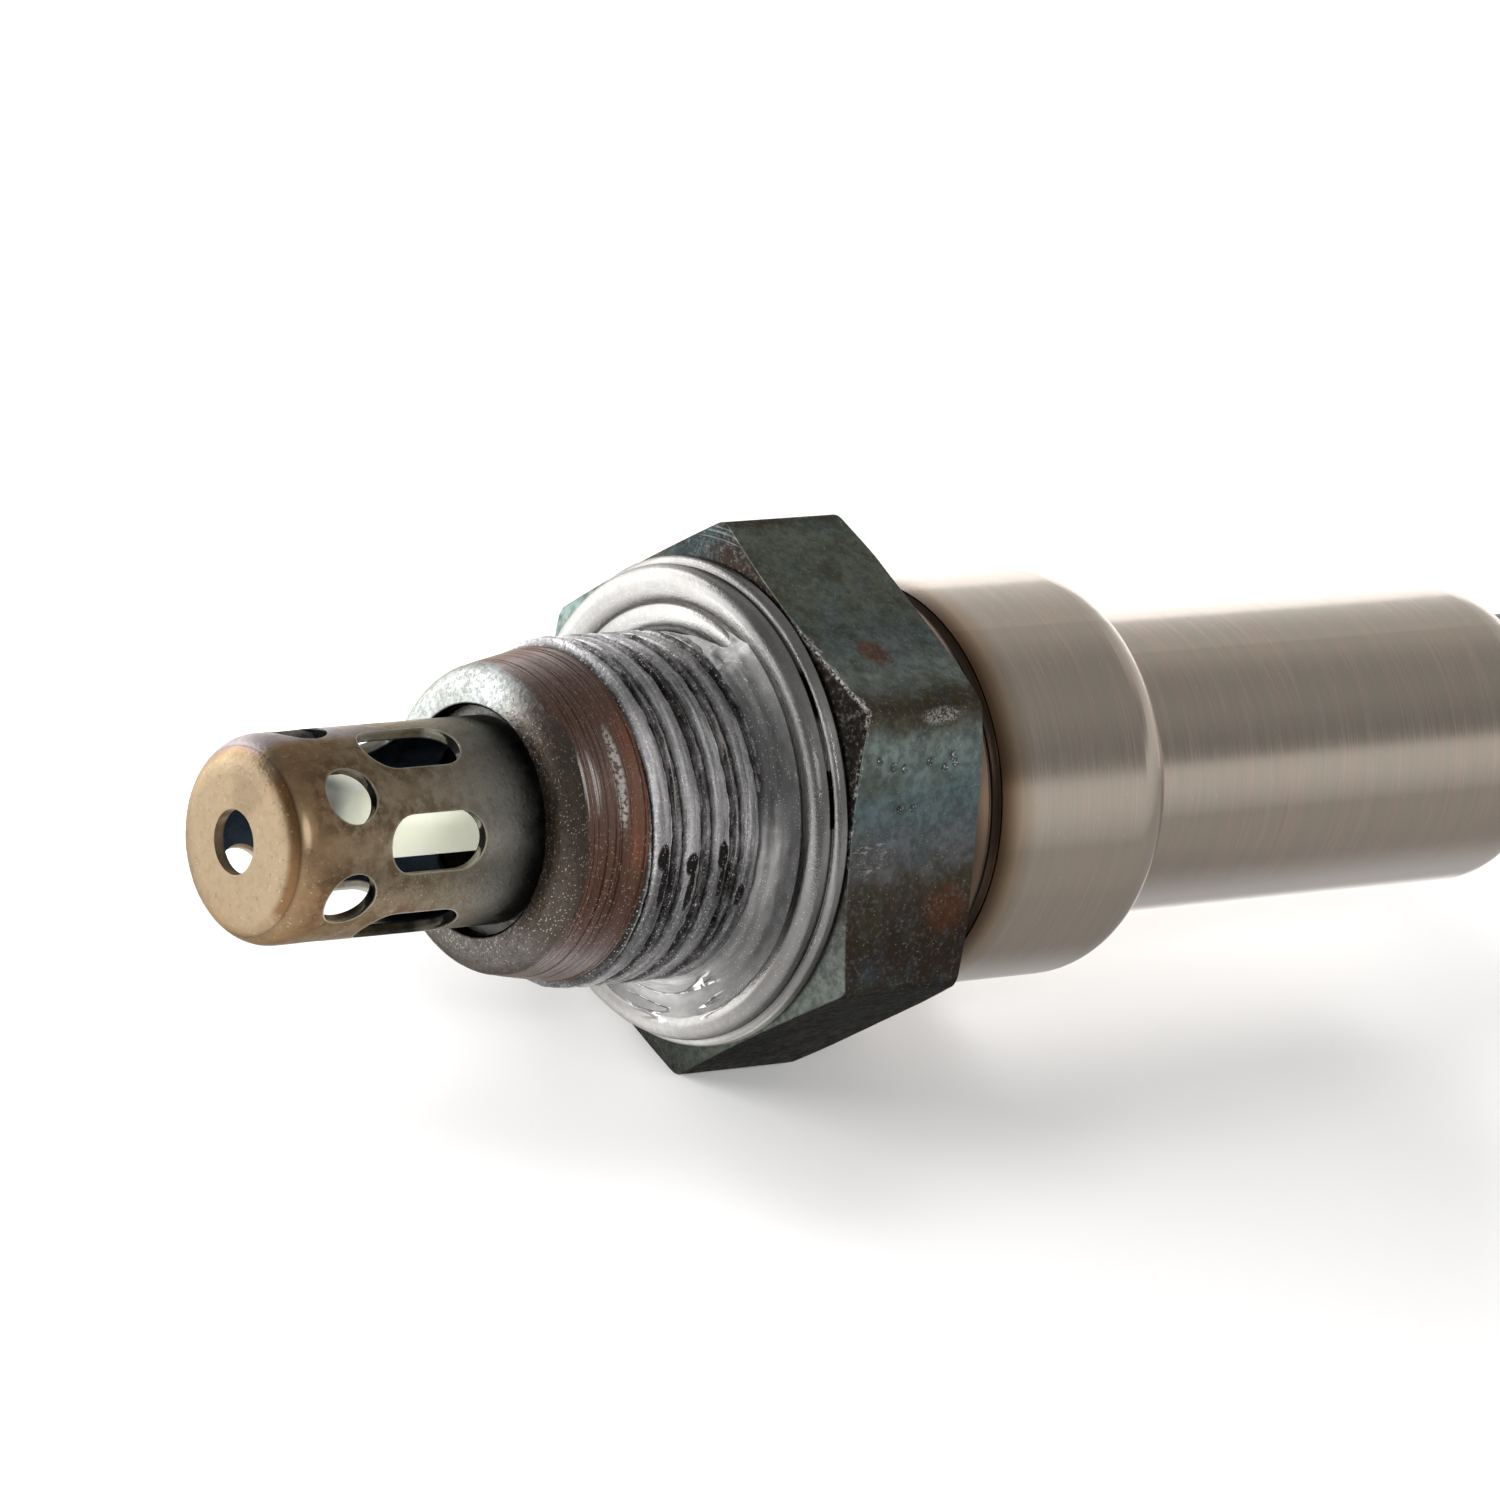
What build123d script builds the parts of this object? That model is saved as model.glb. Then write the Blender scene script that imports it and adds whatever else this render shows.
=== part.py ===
from build123d import *
import os
from math import cos, pi, radians, sin, tan

# Planar oxygen sensor with an M12 x 1.25 mounting thread and a 17 mm hexagon. Sizes are in millimetres.
#
# The sensor lies on one flat of its hexagon. X runs along its axis from the perforated nose to the
# cable end, Z is up, and the origin is on the surface below the middle of its length.
# Stations along the axis are measured from the seat, the hexagon's front face: the nose side is
# negative and the tail side is positive.

os.makedirs("parts", exist_ok=True)

# ---------------------------------------------------------------- driving sizes: shell
hex_across_flats = 17.0
hex_side_count = 6
hex_thickness = 5.55
hex_chamfer_angle = 15.0
hex_front_chamfer_start = 8.4  # radius at which the chamfer leaves the front face
hex_rear_chamfer_start = 8.9  # wider, so that each flat keeps a straight rear edge

thread_major = 12.0
thread_pitch = 1.25
thread_end = -1.45  # station where the full thread stops in front of the neck
thread_turns = 4
thread_runout = 0.2
thread_chamfer = 0.25
neck_diameter = 10.4

nose_wall = 0.88  # round the tube's flange
lead_drop = 0.25  # of the plain lead below the thread's crests
nose_length = 9.55  # from the seat to the front of the shell
nose_edge = 0.95  # from the shell's front to where its lead starts
nose_rounding = 0.92
nose_lip = 0.55  # thickness of the edge that is rolled over the tube's flange
mouth_gap = 0.35  # between the tube and the shell's mouth
mouth_chamfer = 0.1

collar_step = 0.05  # of the collar above the sleeve
collar_length = 1.8  # behind the hexagon
collar_chamfer = 0.2
spigot_length = 2.25  # the sleeve slides over this
crimp_wall = 0.75
crimp_lip = 0.8
crimp_reach = 1.2  # how far the lip is turned in
crimp_rounding = 0.7

throat_diameter = 6.3
throat_length = 1.6
front_bore_diameter = 8.4
bore_step = 0.8

# ---------------------------------------------------------------- driving sizes: protection tube
tube_diameter = 7.1
tube_wall = 0.4
tube_reach = 10.0  # from the shell's nose to the tube's end
tube_end_rounding = 1.25
tube_flange_width = 0.9
end_hole_diameter = 2.2
gas_hole_count = 6
gas_hole_diameter = 2.0
gas_hole_from_end = 2.55
gas_slot_width = 2.0
gas_slot_length = 3.95
gas_slot_from_end = 5.88
gas_slot_angle = 24.5

# ---------------------------------------------------------------- driving sizes: seal ring
seal_outside_diameter = 16.96
seal_inside_diameter = 11.2
seal_sheet = 0.25
seal_fold_gap = 0.11  # between the two layers at the rim
seal_height = 1.25
seal_inner_bead_drop = 0.12
seal_bead_land = 0.5
seal_bead_lap = 0.1
seal_crease_diameter = 13.7
seal_crease_drop = 0.28
seal_crease_flank = 0.32
seal_edge_step = 0.33  # of the free edge inside the rim
seal_edge_gap = 0.05

# ---------------------------------------------------------------- driving sizes: sensing strip and its packing
strip_width = 2.9
strip_thickness = 1.1
strip_tip_gap = 1.55  # from the tube's end wall
strip_length = 40.6
strip_edge = 0.12
strip_angle = 74.1  # of the strip's width, from the horizontal
strip_offset = 0.53  # of its middle, along its width
window_clearance = 0.06

cup_wall = 0.25
cup_length = 5.2
cup_opening_diameter = 5.2
cup_rounding = 0.25
front_holder_length = 3.0
rear_talc_length = 3.0
rear_bush_length = 12.2
rear_bush_head = 5.2  # length of its wide part
rear_bush_stub_length = 3.2
rear_bush_stub_diameter = 6.6
bush_clearance = 0.05
bush_edge = 0.2
packing_height = 0.6
packing_width = 1.15

# ---------------------------------------------------------------- driving sizes: sleeve and tail
sleeve_wall = 0.4
sleeve_front_gap = 0.55  # the seam that is welded, behind the collar
sleeve_slip = 0.01
sleeve_large_diameter = 14.3
sleeve_small_diameter = 10.74
sleeve_shoulder = 16.35  # station of its foot
sleeve_shoulder_slope = 0.45
sleeve_shoulder_rounding = 1.8
sleeve_corner_rounding = 0.35
sleeve_tail = 36.2  # station of the turned-in end
sleeve_tail_taper = 1.1
sleeve_tail_drop = 0.75
sleeve_tail_rounding = 2.6
sleeve_lip_rounding = 0.4

grommet_length = 10.0
grommet_collar_diameter = 8.3
grommet_collar_gap = 0.1  # inside the sleeve's turned-in end
grommet_rounding = 0.5
wire_bore_diameter = 1.7
wire_count = 4
wire_pitch_radius = 2.55
wire_angle = 45.0  # of the first bore, from the strip's width
vent_diameter = 2.5
vent_filter_wall = 0.2
vent_pipe_wall = 0.2
vent_pipe_length = 7.0
vent_recess = 0.4

separator_length = 3.4
separator_clearance = 0.2
holder_gap = 1.15  # between the sleeve's shoulder and the contact holder
contact_holder_clearance = 0.47  # between it and the sleeve, where its spring sits
contact_holder_length = 10.0
contact_holder_edge = 0.3
spring_sheet = 0.2
spring_length = 6.0
spring_flare = 0.9
spring_bend = 0.5
spring_gap_angle = 30.0
spring_station = 19.0
spring_flare_slack = 0.01

contact_sheet = 0.2
contact_width = 0.76
contact_spacing = 2.0
contact_lift = 0.75  # of the blade above the strip's face, behind its spring
contact_touch_gap = 0.01
contact_touch_length = 0.9
contact_touch_station = 20.4
contact_front_station = 18.4
contact_rise = 2.2
contact_bend = 0.3
pocket_width = 1.0
pocket_depth = 1.3
barrel_diameter = 1.44
barrel_wall = 0.2
barrel_length = 2.4
barrel_inset = 0.5  # behind the separator's front
barrel_slot = 0.45
barrel_hole_clearance = 0.1

# ---------------------------------------------------------------- places that follow from the sizes
axis_height = hex_across_flats / 2
nose_station = -nose_length
tube_end_station = nose_station - tube_reach
holder_front = sleeve_shoulder + holder_gap
separator_front = holder_front + contact_holder_length
grommet_front = separator_front + separator_length
tail_station = grommet_front + grommet_length
seat_x = -(tail_station + tube_end_station) / 2
seat_point = (seat_x, 0, axis_height)
sensor_axis = Axis(seat_point, (1, 0, 0))
same_place = 0.001

# Sketches on this plane are half sections: x is the station and y is the radius.
section = Plane(origin=seat_point, x_dir=(1, 0, 0), z_dir=(0, -1, 0))


def across(station):
    """Plane across the axis at a station: its x is the sensor's Y and its y is Z."""
    return Plane(origin=(seat_x + station, 0, axis_height), x_dir=(0, 1, 0), z_dir=(1, 0, 0))


def strip_plane(station):
    """Plane across the axis, turned so that x runs along the strip's width and y off its face."""
    width_direction = (0, cos(radians(strip_angle)), sin(radians(strip_angle)))
    return Plane(origin=(seat_x + station, 0, axis_height), x_dir=width_direction, z_dir=(1, 0, 0))


def rims(piece, station, radius):
    """The round edges of a piece at a station and a radius."""
    return piece.edges().filter_by(GeomType.CIRCLE).filter_by(
        lambda edge: abs(edge.radius - radius) < same_place
        and abs(edge.arc_center.X - seat_x - station) < same_place
    )


# ---------------------------------------------------------------- shell
lip_inner_face = nose_station + nose_lip
throat_front = lip_inner_face + tube_wall
throat_rear = throat_front + throat_length
rear_talc_front = throat_rear + cup_length
bush_front = rear_talc_front + rear_talc_length
bush_shoulder = bush_front + rear_bush_length - rear_bush_stub_length
lip_front = bush_shoulder + packing_height
lip_rear = lip_front + crimp_lip
thread_front = thread_end - thread_turns * thread_pitch
lead_front = nose_station + nose_edge
collar_rear = hex_thickness + collar_length
spigot_rear = collar_rear + spigot_length
thread_radius = thread_major / 2
lead_radius = thread_radius - lead_drop
neck_radius = neck_diameter / 2
flange_radius = tube_diameter / 2 + tube_flange_width
nose_radius = flange_radius + nose_wall
mouth_radius = tube_diameter / 2 + mouth_gap
front_bore_radius = front_bore_diameter / 2
rear_bore_radius = front_bore_radius + bore_step
crimp_radius = rear_bore_radius + crimp_wall
spigot_radius = sleeve_large_diameter / 2 - sleeve_wall - sleeve_slip
collar_radius = sleeve_large_diameter / 2 + collar_step
bush_head_front = bush_shoulder - rear_bush_head

with BuildPart() as shell:
    # The hexagon, with its corners turned off by a cone at each end.
    with BuildSketch(across(0)):
        RegularPolygon(hex_across_flats / 2, side_count=hex_side_count, major_radius=False)
    extrude(amount=hex_thickness)
    corner_radius = hex_across_flats / 2 / cos(pi / hex_side_count)
    chamfer_slope = tan(radians(hex_chamfer_angle))
    front_chamfer = (corner_radius - hex_front_chamfer_start) * chamfer_slope
    rear_chamfer = (corner_radius - hex_rear_chamfer_start) * chamfer_slope
    with BuildSketch(section):
        with BuildLine():
            Polyline(
                (0, 0),
                (0, hex_front_chamfer_start),
                (front_chamfer, corner_radius),
                (hex_thickness - rear_chamfer, corner_radius),
                (hex_thickness, hex_rear_chamfer_start),
                (hex_thickness, 0),
                close=True,
            )
        make_face()
    revolve(axis=sensor_axis, mode=Mode.INTERSECT)

    # Rolled nose, plain lead, thread and neck. The thread is kept as its full outside diameter.
    with BuildSketch(section):
        with BuildLine():
            FilletPolyline(
                (nose_station, 0),
                (nose_station, nose_radius),
                (lead_front, nose_radius),
                (thread_front - thread_chamfer, lead_radius),
                (thread_front, thread_radius),
                (thread_end, thread_radius),
                (thread_end + thread_runout, neck_radius),
                (0, neck_radius),
                (0, 0),
                radius=[0, nose_rounding, 0, 0, 0, 0, 0, 0, 0],
                close=True,
            )
        make_face()
    revolve(axis=sensor_axis)

    # Collar, spigot and crimped edge behind the hexagon.
    with BuildSketch(section):
        with BuildLine():
            FilletPolyline(
                (hex_thickness, 0),
                (hex_thickness, collar_radius),
                (collar_rear, collar_radius),
                (collar_rear, spigot_radius),
                (spigot_rear, spigot_radius),
                (spigot_rear, crimp_radius),
                (lip_rear, crimp_radius),
                (lip_rear, 0),
                radius=[0, 0, 0, 0, 0, 0, crimp_rounding, 0],
                close=True,
            )
        make_face()
    revolve(axis=sensor_axis)

    # Everything that is bored out: mouth, flange seat, throat, two bores and the crimped opening.
    with BuildSketch(section):
        with BuildLine():
            Polyline(
                (nose_station, 0),
                (nose_station, mouth_radius),
                (lip_inner_face, mouth_radius),
                (lip_inner_face, flange_radius),
                (throat_front, flange_radius),
                (throat_front, throat_diameter / 2),
                (throat_rear, throat_diameter / 2),
                (throat_rear, front_bore_radius),
                (bush_head_front - bore_step - bush_edge, front_bore_radius),
                (bush_head_front - bush_edge, rear_bore_radius),
                (lip_front, rear_bore_radius),
                (lip_front, rear_bore_radius - crimp_reach),
                (lip_rear, rear_bore_radius - crimp_reach),
                (lip_rear, 0),
                close=True,
            )
        make_face()
    revolve(axis=sensor_axis, mode=Mode.SUBTRACT)
    chamfer(rims(shell, nose_station, mouth_radius), mouth_chamfer)
    chamfer(rims(shell, collar_rear, collar_radius), collar_chamfer)
    chamfer(rims(shell, spigot_rear, spigot_radius), collar_chamfer)

shell.part.label = "shell"
export_step(shell.part, "parts/shell.step")

# ---------------------------------------------------------------- protection tube
with BuildPart() as protection_tube:
    with BuildSketch(section):
        with BuildLine():
            FilletPolyline(
                (tube_end_station, end_hole_diameter / 2),
                (tube_end_station, tube_diameter / 2),
                (lip_inner_face, tube_diameter / 2),
                (lip_inner_face, flange_radius),
                radius=[tube_end_rounding, 0],
            )
            offset(amount=tube_wall, side=Side.RIGHT)
        make_face()
    revolve(axis=sensor_axis)

    # A ring of round holes near the end and a ring of slots half a pitch round behind them.
    gas_pitch_angle = 360 / gas_hole_count
    hole_station = tube_end_station + gas_hole_from_end
    slot_station = tube_end_station + gas_slot_from_end
    for index in range(gas_hole_count):
        slot_angle = radians(gas_slot_angle + index * gas_pitch_angle)
        hole_angle = slot_angle + radians(gas_pitch_angle / 2)
        hole_out = (0, cos(hole_angle), sin(hole_angle))
        slot_out = (0, cos(slot_angle), sin(slot_angle))
        with BuildSketch(Plane((seat_x + hole_station, 0, axis_height), (1, 0, 0), hole_out)):
            Circle(gas_hole_diameter / 2)
        extrude(amount=tube_diameter, mode=Mode.SUBTRACT)
        with BuildSketch(Plane((seat_x + slot_station, 0, axis_height), (1, 0, 0), slot_out)):
            SlotOverall(gas_slot_length, gas_slot_width)
        extrude(amount=tube_diameter, mode=Mode.SUBTRACT)

protection_tube.part.label = "protection_tube"
export_step(protection_tube.part, "parts/protection_tube.step")

# ---------------------------------------------------------------- seal ring
# One strip of sheet: out along the hexagon's face, folded forward at the rim, back in, and rolled
# outwards again as an inner and an outer bead with a crease between them.
seal_rim = seal_outside_diameter / 2
seal_inside = seal_inside_diameter / 2
seal_crease = seal_crease_diameter / 2
seal_wall = seal_inside + seal_sheet
seal_fold_back = -seal_sheet
layer_back = seal_fold_back - seal_fold_gap
layer_front = layer_back - seal_sheet
outer_bead = -seal_height
inner_bead = outer_bead + seal_inner_bead_drop
crease_front = outer_bead + seal_crease_drop
inner_bead_end = seal_wall + seal_bead_land
outer_bead_start = seal_crease + seal_crease_flank
outer_bead_end = outer_bead_start + seal_bead_land
free_edge = layer_front - seal_edge_gap

with BuildPart() as seal_ring:
    with BuildSketch(section):
        with BuildLine():
            FilletPolyline(
                (0, seal_inside),
                (0, seal_rim),
                (layer_front, seal_rim),
                (layer_front, seal_wall),
                (inner_bead + seal_sheet, seal_wall),
                (inner_bead + seal_sheet, inner_bead_end - seal_bead_lap),
                (crease_front + seal_sheet, seal_crease),
                (outer_bead + seal_sheet, outer_bead_start + seal_bead_lap),
                (outer_bead + seal_sheet, outer_bead_end - seal_bead_lap),
                (free_edge, seal_rim - seal_edge_step - seal_sheet),
                (free_edge, seal_rim - seal_edge_step),
                (outer_bead, outer_bead_end),
                (outer_bead, outer_bead_start),
                (crease_front, seal_crease),
                (inner_bead, inner_bead_end),
                (inner_bead, seal_inside),
                (layer_back, seal_inside),
                (layer_back, seal_rim - seal_sheet),
                (seal_fold_back, seal_rim - seal_sheet),
                (seal_fold_back, seal_inside),
                radius=[
                    0,
                    seal_sheet,
                    seal_sheet,
                    *[0] * 8,
                    seal_sheet,
                    seal_sheet,
                    0,
                    seal_sheet,
                    seal_sheet,
                    *[0] * 4,
                ],
                close=True,
            )
        make_face()
    revolve(axis=sensor_axis)

seal_ring.part.label = "seal_ring"
export_step(seal_ring.part, "parts/seal_ring.step")

# ---------------------------------------------------------------- sensing strip
strip_tip = tube_end_station + tube_wall + strip_tip_gap

with BuildPart() as sensing_element:
    with BuildSketch(strip_plane(strip_tip)):
        with Locations((strip_offset, 0)):
            Rectangle(strip_width, strip_thickness)
    extrude(amount=strip_length)
    chamfer(sensing_element.edges().filter_by(Axis.X), strip_edge)

sensing_element.part.label = "sensing_element"
export_step(sensing_element.part, "parts/sensing_element.step")

# ---------------------------------------------------------------- metal cup and packing
front_holder_front = throat_rear + cup_wall
front_talc_front = front_holder_front + front_holder_length
cup_inside_diameter = front_bore_diameter - 2 * cup_wall

with BuildPart() as holder_cup:
    with BuildSketch(section):
        with BuildLine():
            FilletPolyline(
                (throat_rear, cup_opening_diameter / 2),
                (throat_rear, front_bore_radius),
                (rear_talc_front, front_bore_radius),
                radius=[cup_rounding],
            )
            offset(amount=cup_wall, side=Side.RIGHT)
        make_face()
    revolve(axis=sensor_axis)

holder_cup.part.label = "holder_cup"
export_step(holder_cup.part, "parts/holder_cup.step")

with BuildPart() as front_holder:
    with BuildSketch(across(front_holder_front)):
        Circle(cup_inside_diameter / 2)
    extrude(amount=front_holder_length)
    front_rim = front_holder.edges().filter_by(GeomType.CIRCLE).sort_by(Axis.X)[0]
    chamfer(front_rim, cup_rounding)
    with BuildSketch(strip_plane(front_holder_front)):
        with Locations((strip_offset, 0)):
            Rectangle(strip_width + 2 * window_clearance, strip_thickness + 2 * window_clearance)
    extrude(amount=front_holder_length, mode=Mode.SUBTRACT)

front_holder.part.label = "front_holder"
export_step(front_holder.part, "parts/front_holder.step")

with BuildPart() as front_talc:
    with BuildSketch(across(front_talc_front)):
        Circle(cup_inside_diameter / 2)
    extrude(amount=rear_talc_front - front_talc_front)
    add(sensing_element.part, mode=Mode.SUBTRACT)

front_talc.part.label = "front_talc"
export_step(front_talc.part, "parts/front_talc.step")

with BuildPart() as rear_talc:
    with BuildSketch(across(rear_talc_front)):
        Circle(front_bore_radius)
    extrude(amount=rear_talc_length)
    add(sensing_element.part, mode=Mode.SUBTRACT)

rear_talc.part.label = "rear_talc"
export_step(rear_talc.part, "parts/rear_talc.step")

with BuildPart() as rear_bush:
    with BuildSketch(section):
        with BuildLine():
            Polyline(
                (bush_front, 0),
                (bush_front, front_bore_radius - bush_clearance),
                (bush_head_front - bore_step, front_bore_radius - bush_clearance),
                (bush_head_front, rear_bore_radius - bush_clearance),
                (bush_shoulder, rear_bore_radius - bush_clearance),
                (bush_shoulder, rear_bush_stub_diameter / 2),
                (bush_front + rear_bush_length, rear_bush_stub_diameter / 2),
                (bush_front + rear_bush_length, 0),
                close=True,
            )
        make_face()
    revolve(axis=sensor_axis)
    chamfer(rims(rear_bush, bush_shoulder, rear_bore_radius - bush_clearance), bush_edge)
    chamfer(rims(rear_bush, bush_front + rear_bush_length, rear_bush_stub_diameter / 2), bush_edge)
    with BuildSketch(strip_plane(bush_front)):
        with Locations((strip_offset, 0)):
            Rectangle(strip_width + 2 * window_clearance, strip_thickness + 2 * window_clearance)
    extrude(amount=rear_bush_length, mode=Mode.SUBTRACT)

rear_bush.part.label = "rear_bush"
export_step(rear_bush.part, "parts/rear_bush.step")

with BuildPart() as packing_ring:
    with BuildSketch(across(bush_shoulder)):
        Circle(rear_bore_radius)
        Circle(rear_bore_radius - packing_width, mode=Mode.SUBTRACT)
    extrude(amount=packing_height)

packing_ring.part.label = "packing_ring"
export_step(packing_ring.part, "parts/packing_ring.step")

# ---------------------------------------------------------------- sleeve
sleeve_front = collar_rear + sleeve_front_gap
large_radius = sleeve_large_diameter / 2
small_radius = sleeve_small_diameter / 2
bore_radius = small_radius - sleeve_wall
contact_holder_radius = bore_radius - contact_holder_clearance
tail_radius = small_radius - sleeve_tail_drop
lip_radius = grommet_collar_diameter / 2 + grommet_collar_gap

with BuildPart() as sleeve:
    with BuildSketch(section):
        with BuildLine():
            FilletPolyline(
                (sleeve_front, large_radius),
                (sleeve_shoulder - sleeve_shoulder_slope, large_radius),
                (sleeve_shoulder, small_radius),
                (sleeve_tail - sleeve_tail_taper, small_radius),
                (sleeve_tail, tail_radius),
                (sleeve_tail, lip_radius),
                radius=[
                    sleeve_shoulder_rounding,
                    sleeve_corner_rounding,
                    sleeve_tail_rounding,
                    sleeve_lip_rounding,
                ],
            )
            offset(amount=sleeve_wall, side=Side.RIGHT)
        make_face()
    revolve(axis=sensor_axis)

sleeve.part.label = "sleeve"
export_step(sleeve.part, "parts/sleeve.step")

# ---------------------------------------------------------------- contact holder and its spring
face_height = strip_thickness / 2
contact_places = [(side, end) for side in (1, -1) for end in (1, -1)]

with BuildPart() as contact_holder:
    with BuildSketch(across(holder_front)):
        Circle(contact_holder_radius)
    extrude(amount=contact_holder_length)
    chamfer(contact_holder.edges().filter_by(GeomType.CIRCLE), contact_holder_edge)
    with BuildSketch(strip_plane(holder_front)):
        with Locations((strip_offset, 0)):
            Rectangle(strip_width + 2 * window_clearance, strip_thickness + 2 * window_clearance)
        with Locations((strip_offset, 0)):
            with GridLocations(contact_spacing, 2 * face_height + pocket_depth, 2, 2):
                Rectangle(pocket_width, pocket_depth)
    extrude(amount=contact_holder_length, mode=Mode.SUBTRACT)

contact_holder.part.label = "contact_holder"
export_step(contact_holder.part, "parts/contact_holder.step")

flare_radius = bore_radius - spring_sheet - spring_flare_slack
with BuildPart() as holder_spring:
    with BuildSketch(section):
        with BuildLine():
            FilletPolyline(
                (spring_station, contact_holder_radius),
                (spring_station + spring_length - spring_flare, contact_holder_radius),
                (spring_station + spring_length, flare_radius),
                radius=[spring_bend],
            )
            offset(amount=spring_sheet, side=Side.LEFT)
        make_face()
    revolve(axis=sensor_axis, revolution_arc=360 - spring_gap_angle)

holder_spring.part.label = "holder_spring"
export_step(holder_spring.part, "parts/holder_spring.step")

# ---------------------------------------------------------------- four spring contacts
blade_height = face_height + contact_lift
barrel_centre_height = blade_height + barrel_diameter / 2
barrel_front = separator_front + barrel_inset

for number, (side, end) in enumerate(contact_places, start=1):
    across_place = strip_offset + end * contact_spacing / 2
    with BuildPart() as contact:
        # The blade: a sprung bow that presses on the strip, then a straight run to the crimp barrel.
        blade_plane = strip_plane(0).shift_origin(strip_plane(0).from_local_coords((across_place, 0, 0)))
        side_view = Plane(origin=blade_plane.origin, x_dir=(1, 0, 0), z_dir=-blade_plane.x_dir)
        with BuildSketch(side_view):
            with BuildLine():
                FilletPolyline(
                    (contact_front_station, side * (face_height + contact_lift / 2)),
                    (contact_touch_station, side * (face_height + contact_touch_gap)),
                    (
                        contact_touch_station + contact_touch_length,
                        side * (face_height + contact_touch_gap),
                    ),
                    (contact_touch_station + contact_touch_length + contact_rise, side * blade_height),
                    (barrel_front + barrel_length, side * blade_height),
                    radius=contact_bend,
                )
                offset(amount=contact_sheet, side=Side.LEFT if side > 0 else Side.RIGHT)
            make_face()
        extrude(amount=contact_width / 2, both=True)

        # The crimp barrel, rolled from the same sheet and open along its outer side.
        with BuildSketch(strip_plane(barrel_front)):
            with Locations((across_place, side * barrel_centre_height)):
                Circle(barrel_diameter / 2)
                Circle(barrel_diameter / 2 - barrel_wall, mode=Mode.SUBTRACT)
            with Locations((across_place, side * (barrel_centre_height + barrel_diameter / 2))):
                Rectangle(barrel_slot, barrel_diameter, mode=Mode.SUBTRACT)
        extrude(amount=barrel_length)

    contact.part.label = f"contact_{number}"
    export_step(contact.part, f"parts/contact_{number}.step")

# ---------------------------------------------------------------- rear separator
with BuildPart() as rear_separator:
    with BuildSketch(across(separator_front)):
        Circle(bore_radius - separator_clearance)
    extrude(amount=separator_length)
    chamfer(rear_separator.edges().filter_by(GeomType.CIRCLE), contact_holder_edge)
    with BuildSketch(strip_plane(separator_front)):
        with Locations((strip_offset, 0)):
            with GridLocations(contact_spacing, 2 * barrel_centre_height, 2, 2):
                Circle(barrel_diameter / 2 + barrel_hole_clearance)
    extrude(amount=separator_length, mode=Mode.SUBTRACT)

rear_separator.part.label = "rear_separator"
export_step(rear_separator.part, "parts/rear_separator.step")

# ---------------------------------------------------------------- grommet
# The rubber fills the sleeve's tail and is held by its turned-in end. The four wires leave through
# the outer bores, and the vent sits in the middle one.
with BuildPart() as grommet:
    half_wall = sleeve_wall / 2
    with BuildSketch(section):
        with BuildLine():
            FilletPolyline(
                (grommet_front, 0),
                (grommet_front, small_radius - half_wall),
                (sleeve_tail - sleeve_tail_taper, small_radius - half_wall),
                (sleeve_tail - half_wall, tail_radius - half_wall),
                (sleeve_tail - half_wall, grommet_collar_diameter / 2),
                (tail_station, grommet_collar_diameter / 2),
                (tail_station, 0),
                radius=[0, 0, sleeve_tail_rounding - half_wall, 0, 0, grommet_rounding, 0],
                close=True,
            )
        make_face()
    revolve(axis=sensor_axis)
    add(sleeve.part, mode=Mode.SUBTRACT)
    with BuildSketch(strip_plane(grommet_front)):
        with PolarLocations(wire_pitch_radius, wire_count, start_angle=wire_angle):
            Circle(wire_bore_diameter / 2)
        Circle(vent_diameter / 2)
    extrude(amount=grommet_length, mode=Mode.SUBTRACT)

grommet.part.label = "grommet"
export_step(grommet.part, "parts/grommet.step")

# ---------------------------------------------------------------- vent
vent_rear = tail_station - vent_recess
vent_front = vent_rear - vent_pipe_length
filter_inner_radius = vent_diameter / 2 - vent_filter_wall

with BuildPart() as vent_filter:
    with BuildSketch(across(vent_front)):
        Circle(vent_diameter / 2)
    extrude(amount=vent_pipe_length)
    with BuildSketch(across(vent_front)):
        Circle(filter_inner_radius)
    extrude(amount=vent_pipe_length - vent_filter_wall, mode=Mode.SUBTRACT)

vent_filter.part.label = "vent_filter"
export_step(vent_filter.part, "parts/vent_filter.step")

with BuildPart() as vent_pipe:
    with BuildSketch(across(vent_front)):
        Circle(filter_inner_radius)
        Circle(filter_inner_radius - vent_pipe_wall, mode=Mode.SUBTRACT)
    extrude(amount=vent_pipe_length - vent_filter_wall)

vent_pipe.part.label = "vent_pipe"
export_step(vent_pipe.part, "parts/vent_pipe.step")
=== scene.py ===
# %% [markdown]
# # An oxygen sensor, lying on a white table
# The sensor is a turned steel shell with a thread and a hexagon, a thin perforated tube in front and a
# stepped sleeve behind. Its solids come from a fixed frame. Here they get their real finishes, and the
# pieces that need finer shapes, such as the helical thread, are modelled again on top of that frame.

# %% Load the frame
from math import atan2, cos, degrees, pi, radians, sin

import bpy
from mathutils import Matrix, Vector


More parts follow.
